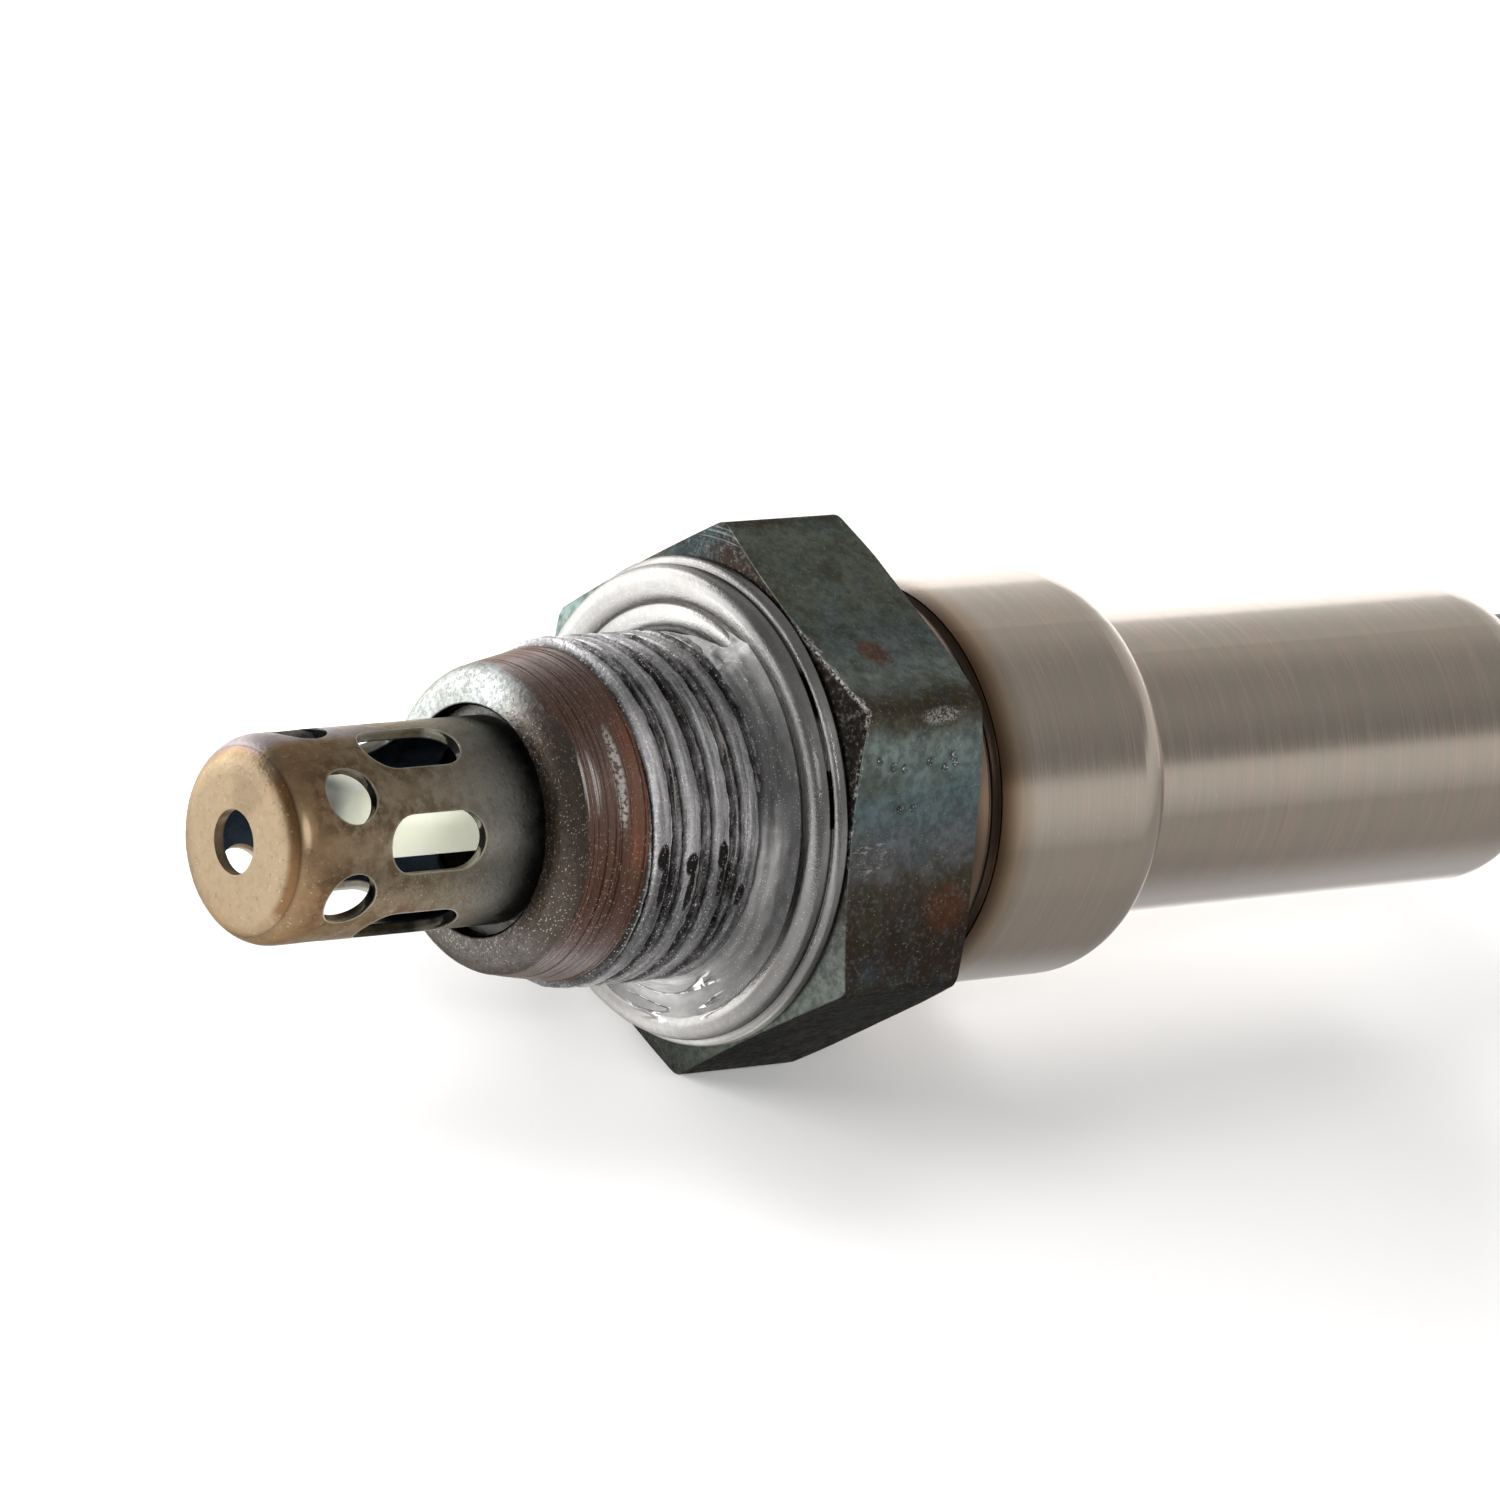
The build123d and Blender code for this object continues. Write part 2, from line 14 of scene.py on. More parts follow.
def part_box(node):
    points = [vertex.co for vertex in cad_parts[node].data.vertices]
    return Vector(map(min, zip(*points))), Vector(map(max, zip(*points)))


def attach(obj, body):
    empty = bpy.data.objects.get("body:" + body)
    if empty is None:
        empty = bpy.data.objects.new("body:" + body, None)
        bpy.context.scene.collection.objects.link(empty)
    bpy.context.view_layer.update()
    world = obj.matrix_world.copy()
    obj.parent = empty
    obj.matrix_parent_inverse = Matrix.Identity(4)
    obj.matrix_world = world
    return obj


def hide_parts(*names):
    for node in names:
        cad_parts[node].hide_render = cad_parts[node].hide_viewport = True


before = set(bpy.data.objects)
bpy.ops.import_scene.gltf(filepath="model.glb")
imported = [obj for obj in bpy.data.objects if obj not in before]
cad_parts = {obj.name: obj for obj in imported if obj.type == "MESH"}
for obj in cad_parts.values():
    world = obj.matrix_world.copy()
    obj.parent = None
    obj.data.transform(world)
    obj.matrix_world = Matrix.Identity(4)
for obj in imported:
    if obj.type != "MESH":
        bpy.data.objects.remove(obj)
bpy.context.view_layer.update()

# %% [markdown]
# A sensor is made on a lathe, so nearly every size is a place along its axis and a radius round it.
# The places are counted from the seat, the front face of the hexagon, because that is the face a
# mechanic knows. The frame gives two sizes to hang them on: where the tube ends and how high the axis is.

# %% Places along the axis
MM = 0.001
tube_end_station = -19.55
axis_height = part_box("sleeve")[0][2] / 2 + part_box("sleeve")[1][2] / 2
seat_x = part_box("protection_tube")[0][0] - tube_end_station * MM
seat = Vector((seat_x, 0, axis_height))


def place(station, radius=0.0):
    """The point at a station and at a radius in mm, straight above the axis."""
    return seat + Vector((station, 0, radius)) * MM


print("the seat is at", seat)

# %% [markdown]
# ## Helpers for modelling
# A turned piece starts as one point, which is extruded along its outline and then spun round the axis.
# That is what a lathe does too, and it keeps every ring of faces round. Corners are bevelled on the flat
# outline, before the spin, because a bevel there needs no more than two edges.

# %% Outlines and spinning
def rest():
    """Deselects everything, so that the next operator acts only on what it is given."""
    if bpy.context.object and bpy.context.object.mode != "OBJECT":
        bpy.ops.object.mode_set(mode="OBJECT")
    bpy.ops.object.select_all(action="DESELECT")


def take(piece):
    """Makes a piece the only one that the next operator acts on."""
    rest()
    piece.select_set(True)
    bpy.context.view_layer.objects.active = piece


def edit(piece, action="SELECT"):
    """Opens a piece for editing, with all of its points taken or none of them."""
    take(piece)
    bpy.ops.object.mode_set(mode="EDIT")
    bpy.ops.mesh.select_all(action=action)


def weld(piece, gap=0.001):
    """Merges the points that lie within a gap in mm and points all faces outwards."""
    edit(piece)
    bpy.ops.mesh.remove_doubles(threshold=gap * MM)
    bpy.ops.mesh.normals_make_consistent(inside=False)
    bpy.ops.object.mode_set(mode="OBJECT")


def draw_outline(name, corners):
    """Extrudes a point along (station, radius, rounding) corners in the plane above the axis."""
    rest()
    start = place(*corners[0][:2])
    bpy.ops.mesh.primitive_plane_add(size=MM, location=start)
    piece = bpy.context.object
    piece.name = name
    bpy.ops.object.transform_apply(location=True, rotation=True, scale=True)
    bpy.ops.object.mode_set(mode="EDIT")
    bpy.ops.mesh.merge(type="CENTER")
    here = start
    for station, radius, *_ in corners[1:]:
        there = place(station, radius)
        bpy.ops.mesh.extrude_region_move(TRANSFORM_OT_translate={"value": there - here})
        here = there
    bpy.ops.mesh.select_all(action="SELECT")
    bpy.ops.mesh.remove_doubles(threshold=MM / 1000)
    bpy.ops.object.mode_set(mode="OBJECT")
    for station, radius, *rounding in corners:
        if rounding:
            round_corner(piece, place(station, radius), rounding[0])
    return piece


def round_corner(piece, corner, rounding, steps=6):
    """Bevels the one outline point that lies at a corner."""
    edit(piece, "DESELECT")
    bpy.ops.mesh.select_mode(type="VERT")
    bpy.ops.object.mode_set(mode="OBJECT")
    for vertex in piece.data.vertices:
        vertex.select = (vertex.co - corner).length < MM / 1000
    bpy.ops.object.mode_set(mode="EDIT")
    bpy.ops.mesh.bevel(offset=rounding * MM, segments=steps, affect="VERTICES", clamp_overlap=True)
    bpy.ops.object.mode_set(mode="OBJECT")


def spin(piece, steps=160):
    """Turns an outline once round the sensor's axis and closes the seam."""
    edit(piece)
    bpy.ops.mesh.spin(steps=steps, angle=2 * pi, center=seat, axis=(1, 0, 0))
    weld(piece)
    return piece


def smooth(piece, angle=35.0):
    """Smooth shading that keeps edges sharper than an angle."""
    take(piece)
    bpy.ops.object.shade_smooth_by_angle(angle=radians(angle))
    return piece


def finish_with(piece, kind, name, **settings):
    """Adds a modifier, sets it and applies it at once."""
    take(piece)
    modifier = piece.modifiers.new(name, kind)
    for setting, value in settings.items():
        setattr(modifier, setting, value)
    bpy.ops.object.modifier_apply(modifier=name)
    return piece


def trim(piece, corners, steps=160):
    """Keeps of a piece only what lies inside a turned blank."""
    blank = spin(draw_outline("blank", corners), steps)
    finish_with(piece, "BOOLEAN", "trim", object=blank, operation="INTERSECT", solver="EXACT")
    bpy.data.objects.remove(blank)


def belongs(piece, node):
    """Says which node a piece stands for, by hiding that node, and that it moves with the sensor."""
    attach(piece, "root")
    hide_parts(node)
    print(piece.name, len(piece.data.polygons), "faces")


# %% [markdown]
# ## The nose of the shell
# The shell's front is a thin lip that was rolled over the flange of the tube. Behind it runs a short,
# slightly conical lead that helps the thread to start. One spin makes both, with the mouth as a real
# opening, so that the dark gap round the tube is there from every side.

# %% Turn the nose
nose_corners = [
    (-6.0, 5.1),
    (-6.4, 5.72, 0.12),
    (-8.45, 5.38, 0.15),
    (-8.62, 5.33, 0.1),
    (-9.55, 5.3, 0.88),
    (-9.55, 3.9, 0.12),
    (-9.0, 3.9),
    (-9.0, 4.45),
    (-8.6, 4.45),
    (-8.6, 3.15),
    (-7.6, 3.15),
]
shell_nose = smooth(spin(draw_outline("shell_nose", nose_corners)))
belongs(shell_nose, "shell")

# %% [markdown]
# ## The thread
# A thread is a helix, so rings can't make it. Paste fills its groove nearly to the top, so one pitch of
# its outline is a broad land of paste and, beside it, the narrow ridge of steel. A Screw modifier winds
# that outline forward by one pitch a turn. The wound surface is cut square at both ends, closed, and
# then intersected with a turned blank, which leaves a chamfered start and a run-out as a real die does.

# %% Wind the thread
# Each outline is a list of (distance along the pitch, height above the root).
thread_pitch = 1.25
thread_crest = 6.0
thread_root = 5.5
thread_front = -6.5
thread_back = -1.32
wound_turns = 8
first_turn = -9.05
weld_gap = 0.005
land_profile = [
    (0.0, 0.1), (0.04, 0.34), (0.09, 0.44), (0.24, 0.475),
    (0.38, 0.485), (0.52, 0.475), (0.68, 0.44), (0.75, 0.34),
]
ridge_profile = [
    (0.8, 0.1), (0.86, 0.34), (0.92, 0.47), (1.0, 0.5), (1.09, 0.47), (1.18, 0.34), (thread_pitch, 0.1),
]


def wind_thread(profile):
    """Winds one pitch of an outline into a helix round the sensor's axis."""
    piece = draw_outline("shell_thread", profile)
    axis = bpy.data.objects.new("thread_axis", None)
    bpy.context.collection.objects.link(axis)
    axis.location = seat
    winding = {"axis": "X", "object": axis, "screw_offset": thread_pitch * MM, "iterations": wound_turns}
    finish_with(piece, "SCREW", "wind", steps=144, render_steps=144, use_normal_calculate=True, **winding)
    bpy.data.objects.remove(axis)
    weld(piece, weld_gap)
    return piece


def roughen(piece, size, depth, middle=0.5):
    """Raises and lowers a surface in lumps of paste, with their size and depth in mm."""
    clouds = bpy.data.textures.new("paste_lumps", "CLOUDS")
    clouds.noise_scale = size * MM
    settings = {"texture": clouds, "texture_coords": "LOCAL", "strength": depth * MM, "mid_level": middle}
    finish_with(piece, "DISPLACE", "lumps", **settings)


def cut_square(piece, station, keep_behind):
    """Cuts a piece across the axis, throws one side away and closes the cut."""
    edit(piece)
    bpy.ops.mesh.bisect(
        plane_co=place(station),
        plane_no=(1, 0, 0),
        use_fill=True,
        clear_inner=keep_behind,
        clear_outer=not keep_behind,
        threshold=MM / 10000,
    )
    bpy.ops.object.mode_set(mode="OBJECT")


one_pitch = [(first_turn + along, thread_root + height) for along, height in land_profile + ridge_profile]
shell_thread = wind_thread(one_pitch)
roughen(shell_thread, 0.5, 0.13, middle=0.6)
cut_square(shell_thread, thread_front - 0.2, keep_behind=True)
cut_square(shell_thread, thread_back + 0.2, keep_behind=False)
weld(shell_thread, weld_gap)
blank_corners = [
    (thread_front, 0.0),
    (thread_front, 5.68),
    (thread_front + 0.35, thread_crest + 0.01),
    (thread_back - 0.3, thread_crest + 0.01),
    (thread_back, 5.45),
    (thread_back, 0.0),
]
trim(shell_thread, blank_corners)
smooth(shell_thread, 28)
belongs(shell_thread, "shell")

# %% [markdown]
# ## The paste in the corner
# Anti-seize paste has been pushed along the thread into the corner behind it. A turned bead lies on the
# last turn. A second one, wider, is smeared from the thread over the seal ring, but only on the near
# and lower side. Both are turned whole and roughened with clouds, and then the side where there is no
# paste is sunk out of sight step by step, so that the smear thins out instead of ending in a wall.

# %% Press the paste in
def lathe_angle(point):
    """Degrees round the axis from +Y towards +Z."""
    return degrees(atan2(point.z - seat.z, point.y - seat.y)) % 360


def sink(piece, first, last, way, steps, fade):
    """Moves what lies outside the angles first to last out of sight, fading over some degrees in steps."""
    for step in range(steps):
        inset = fade * step / steps
        edit(piece, "DESELECT")
        bpy.ops.object.mode_set(mode="OBJECT")
        for vertex in piece.data.vertices:
            vertex.select = not first + inset < lathe_angle(vertex.co) < last - inset
        bpy.ops.object.mode_set(mode="EDIT")
        bpy.ops.transform.translate(value=Vector(way) * MM / steps)
        bpy.ops.object.mode_set(mode="OBJECT")


bead_corners = [(-1.8, 5.0), (-1.55, 5.74, 0.1), (-1.2, 5.88, 0.12), (-0.98, 5.78, 0.1), (-0.85, 5.0)]
paste_bead = spin(draw_outline("paste_bead", bead_corners), steps=360)
roughen(paste_bead, 0.6, 0.16)
smooth(paste_bead, 60)
belongs(paste_bead, "shell")

smear_corners = [
    (-2.0, 5.4),
    (-1.72, 6.0, 0.15),
    (-1.45, 6.25, 0.15),
    (-1.32, 6.6, 0.2),
    (-1.29, 7.0, 0.1),
    (-1.26, 7.35),
    (-1.0, 7.3),
    (-0.9, 5.4),
]
paste_smear = spin(draw_outline("paste_smear", smear_corners), steps=360)
roughen(paste_smear, 0.9, 0.09)
sink(paste_smear, 60.0, 288.0, (0.8, 0.0, 0.0), steps=44, fade=32.0)
smooth(paste_smear, 60)
belongs(paste_smear, "shell")

# %% [markdown]
# ## The hexagon
# A six-sided cylinder is cut with a turned blank, as the chamfer on a bar of hexagon steel is. The
# long curved edges between flats and chamfer come out of that cut, and a small bevel then breaks every
# edge, because no used spanner hexagon has sharp ones.

# %% Cut the hexagon
across_flats = 17.0
hexagon_length = 5.55
corner_radius = across_flats / 2 / cos(pi / 6)
chamfer_slope = 0.268

rest()
bpy.ops.mesh.primitive_cylinder_add(
    vertices=6,
    radius=corner_radius * MM,
    depth=hexagon_length * MM,
    location=place(hexagon_length / 2),
    rotation=(0, pi / 2, 0),
)
shell_hexagon = bpy.context.object
shell_hexagon.name = "shell_hexagon"
bpy.ops.object.transform_apply(location=True, rotation=True, scale=True)
bpy.ops.object.mode_set(mode="EDIT")
bpy.ops.mesh.select_all(action="DESELECT")
bpy.ops.mesh.select_mode(type="EDGE")
bpy.ops.object.mode_set(mode="OBJECT")
for edge in shell_hexagon.data.edges:
    one, other = (shell_hexagon.data.vertices[index].co for index in edge.vertices)
    edge.select = abs(one.x - other.x) > MM
bpy.ops.object.mode_set(mode="EDIT")
bpy.ops.mesh.bevel(offset=0.32 * MM, segments=4)
bpy.ops.mesh.select_mode(type="VERT")
bpy.ops.object.mode_set(mode="OBJECT")
heights = [vertex.co.z for vertex in shell_hexagon.data.vertices]
print("hexagon height", max(heights) - min(heights))
front_start = 8.4
rear_start = 8.9
blank_radius = corner_radius + 0.5
blank_corners = [
    (0, 0),
    (0, front_start),
    ((blank_radius - front_start) * chamfer_slope, blank_radius),
    (hexagon_length - (blank_radius - rear_start) * chamfer_slope, blank_radius),
    (hexagon_length, rear_start),
    (hexagon_length, 0),
]
trim(shell_hexagon, blank_corners, steps=360)
edges = {"width": 0.05 * MM, "segments": 2, "limit_method": "ANGLE", "angle_limit": radians(12)}
finish_with(shell_hexagon, "BEVEL", "broken_edges", **edges)
smooth(shell_hexagon, 20)
belongs(shell_hexagon, "shell")

# %% [markdown]
# ## Collar and weld
# Behind the hexagon the shell ends in a collar and a spigot. The sleeve slides over the spigot, and a
# laser weld melts its front edge into the collar. The bead is a ring with a few low ripples.

# %% Turn the collar and the weld bead
collar_corners = [
    (5.5, 5.0),
    (5.5, 7.2),
    (7.3, 7.2, 0.12),
    (7.42, 6.74, 0.05),
    (9.6, 6.74, 0.1),
    (9.6, 5.75),
    (11.6, 5.75, 0.6),
    (11.6, 3.8),
    (10.8, 3.8),
]
shell_collar = smooth(spin(draw_outline("shell_collar", collar_corners)))
belongs(shell_collar, "shell")

weld_corners = [
    (7.2, 6.6),
    (7.2, 7.08),
    (7.36, 7.16, 0.05),
    (7.5, 7.0, 0.05),
    (7.66, 6.9, 0.05),
    (7.8, 7.0, 0.05),
    (7.92, 7.1, 0.05),
    (8.05, 7.0),
    (8.05, 6.6),
    (7.2, 6.6),
]
weld_bead = smooth(spin(draw_outline("weld_bead", weld_corners)), 60)
belongs(weld_bead, "shell")

# %% [markdown]
# ## The seal ring
# The seal ring is one strip of soft sheet, folded and rolled so that it crushes when the sensor is
# tightened. Its section is drawn once round the outside of the folds and spun.

# %% Roll the seal ring
seal_corners = [
    (0.0, 5.6),
    (0.0, 8.44, 0.15),
    (-0.16, 8.46, 0.05),
    (-0.44, 8.4, 0.12),
    (-0.52, 8.14, 0.03),
    (-0.66, 8.2, 0.08),
    (-1.02, 8.14, 0.16),
    (-1.25, 7.84, 0.25),
    (-1.23, 7.4, 0.3),
    (-1.12, 7.02, 0.2),
    (-0.98, 6.88, 0.02),
    (-1.1, 6.78, 0.1),
    (-1.18, 6.4, 0.25),
    (-1.08, 6.0, 0.2),
    (-0.86, 5.66, 0.1),
    (0.0, 5.6),
]
seal_roll = smooth(spin(draw_outline("seal_roll", seal_corners), steps=192), 60)
belongs(seal_roll, "seal_ring")

# %% [markdown]
# ## Node helpers
# Materials are built from small node groups. A helper adds a node, sets it and wires it in one line.
# A wire knows which tree it lies in, so the helpers that work on values are given nothing but wires
# and numbers. Colours are written the way a painter reads them off a screen.

# %% Colours
def colour(red, green, blue):
    """A screen colour, 0 to 255, as the linear colour that shaders use."""
    def linear(value):
        value = value / 255
        return value / 12.92 if value <= 0.04045 else ((value + 0.055) / 1.055) ** 2.4

    return (linear(red), linear(green), linear(blue), 1.0)


def grey(level, warmth=0.0):
    """A grey by its linear level, warmer above zero."""
    return (level * (1 + warmth), level, level * (1 - warmth), 1.0)


# %% Nodes and wires
def is_wire(value):
    return isinstance(value, bpy.types.NodeSocket)


def put(value, socket):
    """Leads a wire to an input, or sets the input to a value."""
    if is_wire(value):
        socket.id_data.links.new(value, socket)
    else:
        socket.default_value = value


def node(tree, kind, wires=None, **settings):
    """Adds a node, with its settings and with a value or a wire on each named input."""
    made = tree.nodes.new("ShaderNode" + kind)
    for setting, value in settings.items():
        setattr(made, setting, value)
    for socket, value in (wires or {}).items():
        put(value, made.inputs[socket])
    return made


def beside(values, kind, wires, **settings):
    """Adds a node to the tree in which the first wire among the values lies."""
    return node(next(filter(is_wire, values)).id_data, kind, wires, **settings)


# %% Arithmetic on wires
def maths(operation, first, second=0.0):
    return beside((first, second), "Math", {0: first, 1: second}, operation=operation).outputs[0]


def plus(first, second):
    return maths("ADD", first, second)


def minus(first, second):
    return maths("SUBTRACT", first, second)


def times(first, second):
    return maths("MULTIPLY", first, second)


def larger(first, second):
    return maths("MAXIMUM", first, second)


def sway(noise, reach):
    """Noise from 0 to 1 as a shift to both sides of zero."""
    return times(minus(noise, 0.5), reach)


def ramp(value, low, high, out_low=0.0, out_high=1.0):
    """A smooth step of a value between two limits."""
    wires = {0: value, 1: low, 2: high, 3: out_low, 4: out_high}
    return beside((value,), "MapRange", wires, interpolation_type="SMOOTHSTEP").outputs[0]


def within(value, middle, reach, soft=0.0):
    """One where a value is within reach of its middle, fading over a soft edge."""
    hard_edge = 1e-4
    return ramp(maths("ABSOLUTE", minus(value, middle)), reach + soft + hard_edge, reach)


# %% Colours on wires
def blend(factor, under, over, how="MIX"):
    wires = {0: factor, 6: under, 7: over}
    return beside(wires.values(), "Mix", wires, data_type="RGBA", blend_type=how).outputs[2]


def cover(under, mask, share, over):
    """Lays a colour over another where a mask is, as thickly as its share says."""
    return blend(times(mask, share), under, over)


def darken(under, by, factor=1.0):
    """Multiplies a colour by another."""
    return blend(factor, under, by, "MULTIPLY")


def bands(value, stops):
    """Colours along a value. A stop is (value, grey level) or (value, red, green, blue), in rising order."""
    low, high = stops[0][0], stops[-1][0]
    scaled = beside((value,), "MapRange", {0: value, 1: low, 2: high}).outputs[0]
    made = beside((value,), "ValToRGB", {0: scaled})
    elements = made.color_ramp.elements
    elements.remove(elements[1])
    for at, *_ in stops[1:]:
        elements.new((at - low) / (high - low))
    for element, (_, *tint) in zip(elements, stops):
        element.color = colour(*tint) if len(tint) == 3 else grey(*tint)
    return made.outputs[0]


# %% Groups
def new_group(name, inputs, outputs):
    """Starts a node group; gives the group, its input node and its output node."""
    group = bpy.data.node_groups.new(name, "ShaderNodeTree")
    for socket, value in inputs.items():
        kind = "Vector" if socket == "Point" else "Float"
        made = group.interface.new_socket(socket, in_out="INPUT", socket_type="NodeSocket" + kind)
        made.default_value = value
    for socket in outputs:
        kind = "Vector" if socket == "Point" else "Float"
        group.interface.new_socket(socket, in_out="OUTPUT", socket_type="NodeSocket" + kind)
    print("node group", name, "gives", *outputs)
    return group, group.nodes.new("NodeGroupInput").outputs, group.nodes.new("NodeGroupOutput").inputs


def use(tree, group, **values):
    """Places a group in a material. Spaces in a socket's name are written as underscores."""
    made = tree.nodes.new("ShaderNodeGroup")
    made.node_tree = group
    for name, value in values.items():
        put(value, made.inputs[name.replace("_", " ")])
    return made


# %% [markdown]
# ## Groups that know the lathe
# Wear on a turned part follows the lathe: it changes along the axis, on edges of a certain radius, and
# in fine rings. The first group turns a point into its station, radius and angle, and the others make
# rings, patches and grains from it, all in millimetres.

# %% Station, radius and angle
origin = (0, 0, 0)
lathe, _, lathe_out = new_group("where on the lathe", {}, ("Station", "Radius", "Angle", "Point"))
point = node(lathe, "TexCoord").outputs["Object"]
centred = node(lathe, "VectorMath", {0: point, 1: seat}, operation="SUBTRACT").outputs[0]
in_mm = node(lathe, "VectorMath", {0: centred, "Scale": 1 / MM}, operation="SCALE").outputs[0]
axes = node(lathe, "SeparateXYZ", {0: in_mm}).outputs
across_axis = node(lathe, "CombineXYZ", {1: axes[1], 2: axes[2]}).outputs[0]
full_angle = times(maths("ARCTAN2", axes[2], axes[1]), 180 / pi)
put(axes[0], lathe_out["Station"])
put(node(lathe, "VectorMath", {0: across_axis}, operation="LENGTH").outputs["Value"], lathe_out["Radius"])
put(maths("FLOORED_MODULO", full_angle, 360.0), lathe_out["Angle"])
put(in_mm, lathe_out["Point"])

# %% Turned rings
rings, given, rings_out = new_group("turned rings", {"Point": origin, "Per mm": 6.0, "Wander": 0.08}, ["Line"])
scale = node(rings, "CombineXYZ", {0: given["Per mm"], 1: given["Wander"], 2: given["Wander"]}).outputs[0]
stretched = node(rings, "VectorMath", {0: given["Point"], 1: scale}, operation="MULTIPLY").outputs[0]
line = node(rings, "TexNoise", {"Vector": stretched, "Scale": 1.0, "Detail": 3.0, "Roughness": 0.6}).outputs[0]
put(line, rings_out["Line"])

# %% Patches
patch_inputs = {"Point": origin, "Size": 1.0, "Amount": 0.5, "Softness": 0.1, "Seed": 0.0}
patches, given, patches_out = new_group("patches", patch_inputs, ["Mask"])
per_mm = maths("DIVIDE", 1.0, given["Size"])
cloud_noise = {"Vector": given["Point"], "W": given["Seed"], "Scale": per_mm, "Detail": 5.0, "Roughness": 0.62}
cloud = node(patches, "TexNoise", cloud_noise, noise_dimensions="4D").outputs[0]
level = minus(1.0, given["Amount"])
put(ramp(cloud, minus(level, given["Softness"]), plus(level, given["Softness"])), patches_out["Mask"])

# %% Grains
grains, given, grains_out = new_group("grains", {"Point": origin, "Size": 0.08, "Share": 0.2}, ["Mask"])
per_mm = maths("DIVIDE", 1.0, given["Size"])
cells = node(grains, "TexVoronoi", {"Vector": given["Point"], "Scale": per_mm}, feature="F1").outputs
shade = node(grains, "SeparateColor", {0: cells["Color"]}).outputs[0]
chosen = maths("LESS_THAN", shade, given["Share"])
put(times(chosen, ramp(cells["Distance"], 0.5, 0.25)), grains_out["Mask"])

# %% Ragged spots
# A spot sits at a station and an angle, and noise makes its outline ragged.
spot_inputs = {
    "Point": origin, "Station": 0.0, "Angle": 0.0, "At station": 0.0, "At angle": 0.0,
    "Half length": 1.0, "Half turn": 10.0, "Ragged": 0.6, "Soft": 0.15,
}
spots, given, spots_out = new_group("ragged spot", spot_inputs, ["Mask"])
along = maths("DIVIDE", minus(given["Station"], given["At station"]), given["Half length"])
round_it = maths("DIVIDE", minus(given["Angle"], given["At angle"]), given["Half turn"])
off = node(spots, "CombineXYZ", {0: along, 1: round_it}).outputs[0]
reach = node(spots, "VectorMath", {0: off}, operation="LENGTH").outputs["Value"]
rough_noise = {"Vector": given["Point"], "Scale": 2.6, "Detail": 4.0, "Roughness": 0.65}
rough = node(spots, "TexNoise", rough_noise).outputs[0]
edge = plus(reach, sway(rough, given["Ragged"]))
put(ramp(edge, plus(1.0, given["Soft"]), minus(1.0, given["Soft"])), spots_out["Mask"])


# %% [markdown]
# ## Materials
# Every material starts the same way: a Principled shader, the lathe coordinates, and one bump. The
# helper below keeps those together, so that each finish reads as a list of what is seen on the metal.

# %% A helper that starts a material
class Finish:
    """A material in the making: its tree, its shader and where on the lathe each point is."""

    def __init__(self, name, roughness=0.4, metallic=1.0):
        self.material = bpy.data.materials.new(name)
        self.material.use_nodes = True
        self.tree = self.material.node_tree
        self.shader = self.tree.nodes["Principled BSDF"]
        self.set("Roughness", roughness)
        self.set("Metallic", metallic)
        where = use(self.tree, lathe).outputs
        self.station, self.radius, self.angle = where["Station"], where["Radius"], where["Angle"]
        self.point = where["Point"]

    def set(self, socket, value):
        put(value, self.shader.inputs[socket])

    def bump(self, height, depth_mm):
        relief = {"Height": height, "Distance": depth_mm * MM, "Strength": 1.0}
        self.set("Normal", node(self.tree, "Bump", relief).outputs[0])

    def mask(self, group, **values):
        return use(self.tree, group, Point=self.point, **values).outputs[0]

    def patch(self, size, amount, softness=0.1, seed=0.0):
        return self.mask(patches, Size=size, Amount=amount, Softness=softness, Seed=seed)

    def ring(self, per_mm, wander=0.08):
        return self.mask(rings, Per_mm=per_mm, Wander=wander)

    def grain(self, size, share):
        return self.mask(grains, Size=size, Share=share)

    def spot(self, station, angle, half_length, half_turn, ragged=0.6, soft=0.15):
        where = {"Station": self.station, "Angle": self.angle, "At_station": station, "At_angle": angle}
        extent = {"Half_length": half_length, "Half_turn": half_turn, "Ragged": ragged, "Soft": soft}
        return self.mask(spots, **where, **extent)


def wear(piece, finish):
    """Puts a finish in a piece's material slots."""
    if not piece.material_slots:
        piece.data.materials.append(finish.material)
    for slot in piece.material_slots:
        slot.material = finish.material
    print(finish.material.name, "on", piece.name)


# %% [markdown]
# ## The sleeve
# The sleeve is drawn stainless steel, brushed round and round, so fine rings cross it. The weld at its
# front has left heat colours: brown at the seam, then straw, then the plain warm grey of the steel.
# Its low side is painted paler, a painted reflection of the white table under it.

# %% Brush the sleeve
sleeve = Finish("brushed_sleeve", roughness=0.22)
brush = sleeve.ring(16.0, 0.35)
broad = sleeve.ring(2.2, 0.12)
steel = blend(ramp(brush, 0.3, 0.7), colour(192, 176, 163), colour(202, 187, 174))
steel = blend(ramp(broad, 0.35, 0.65), steel, colour(190, 180, 166))
heat = bands(sleeve.station, [
    (7.9, 116, 92, 76), (8.15, 144, 124, 108), (8.45, 186, 170, 150), (8.8, 226, 217, 204),
    (9.6, 255, 255, 255),
])
strokes = sleeve.grain(0.16, 0.04)
steel = blend(times(strokes, ramp(brush, 0.45, 0.6, 0.0, 0.35)), steel, colour(214, 206, 196))
# Painted reflection: the low side is painted nearly white, as the white table mirrored in the steel.
past_step = ramp(sleeve.station, 15.6, 16.6, 0.0, 14.0)
painted_table_reflection = times(ramp(plus(sleeve.angle, past_step), 192.0, 216.0), ramp(sleeve.angle, 282.0, 258.0))
steel = blend(painted_table_reflection, steel, colour(255, 248, 243))
sleeve.set("Base Color", darken(steel, heat))
sleeve.set("Roughness", ramp(brush, 0.2, 0.8, 0.14, 0.24))
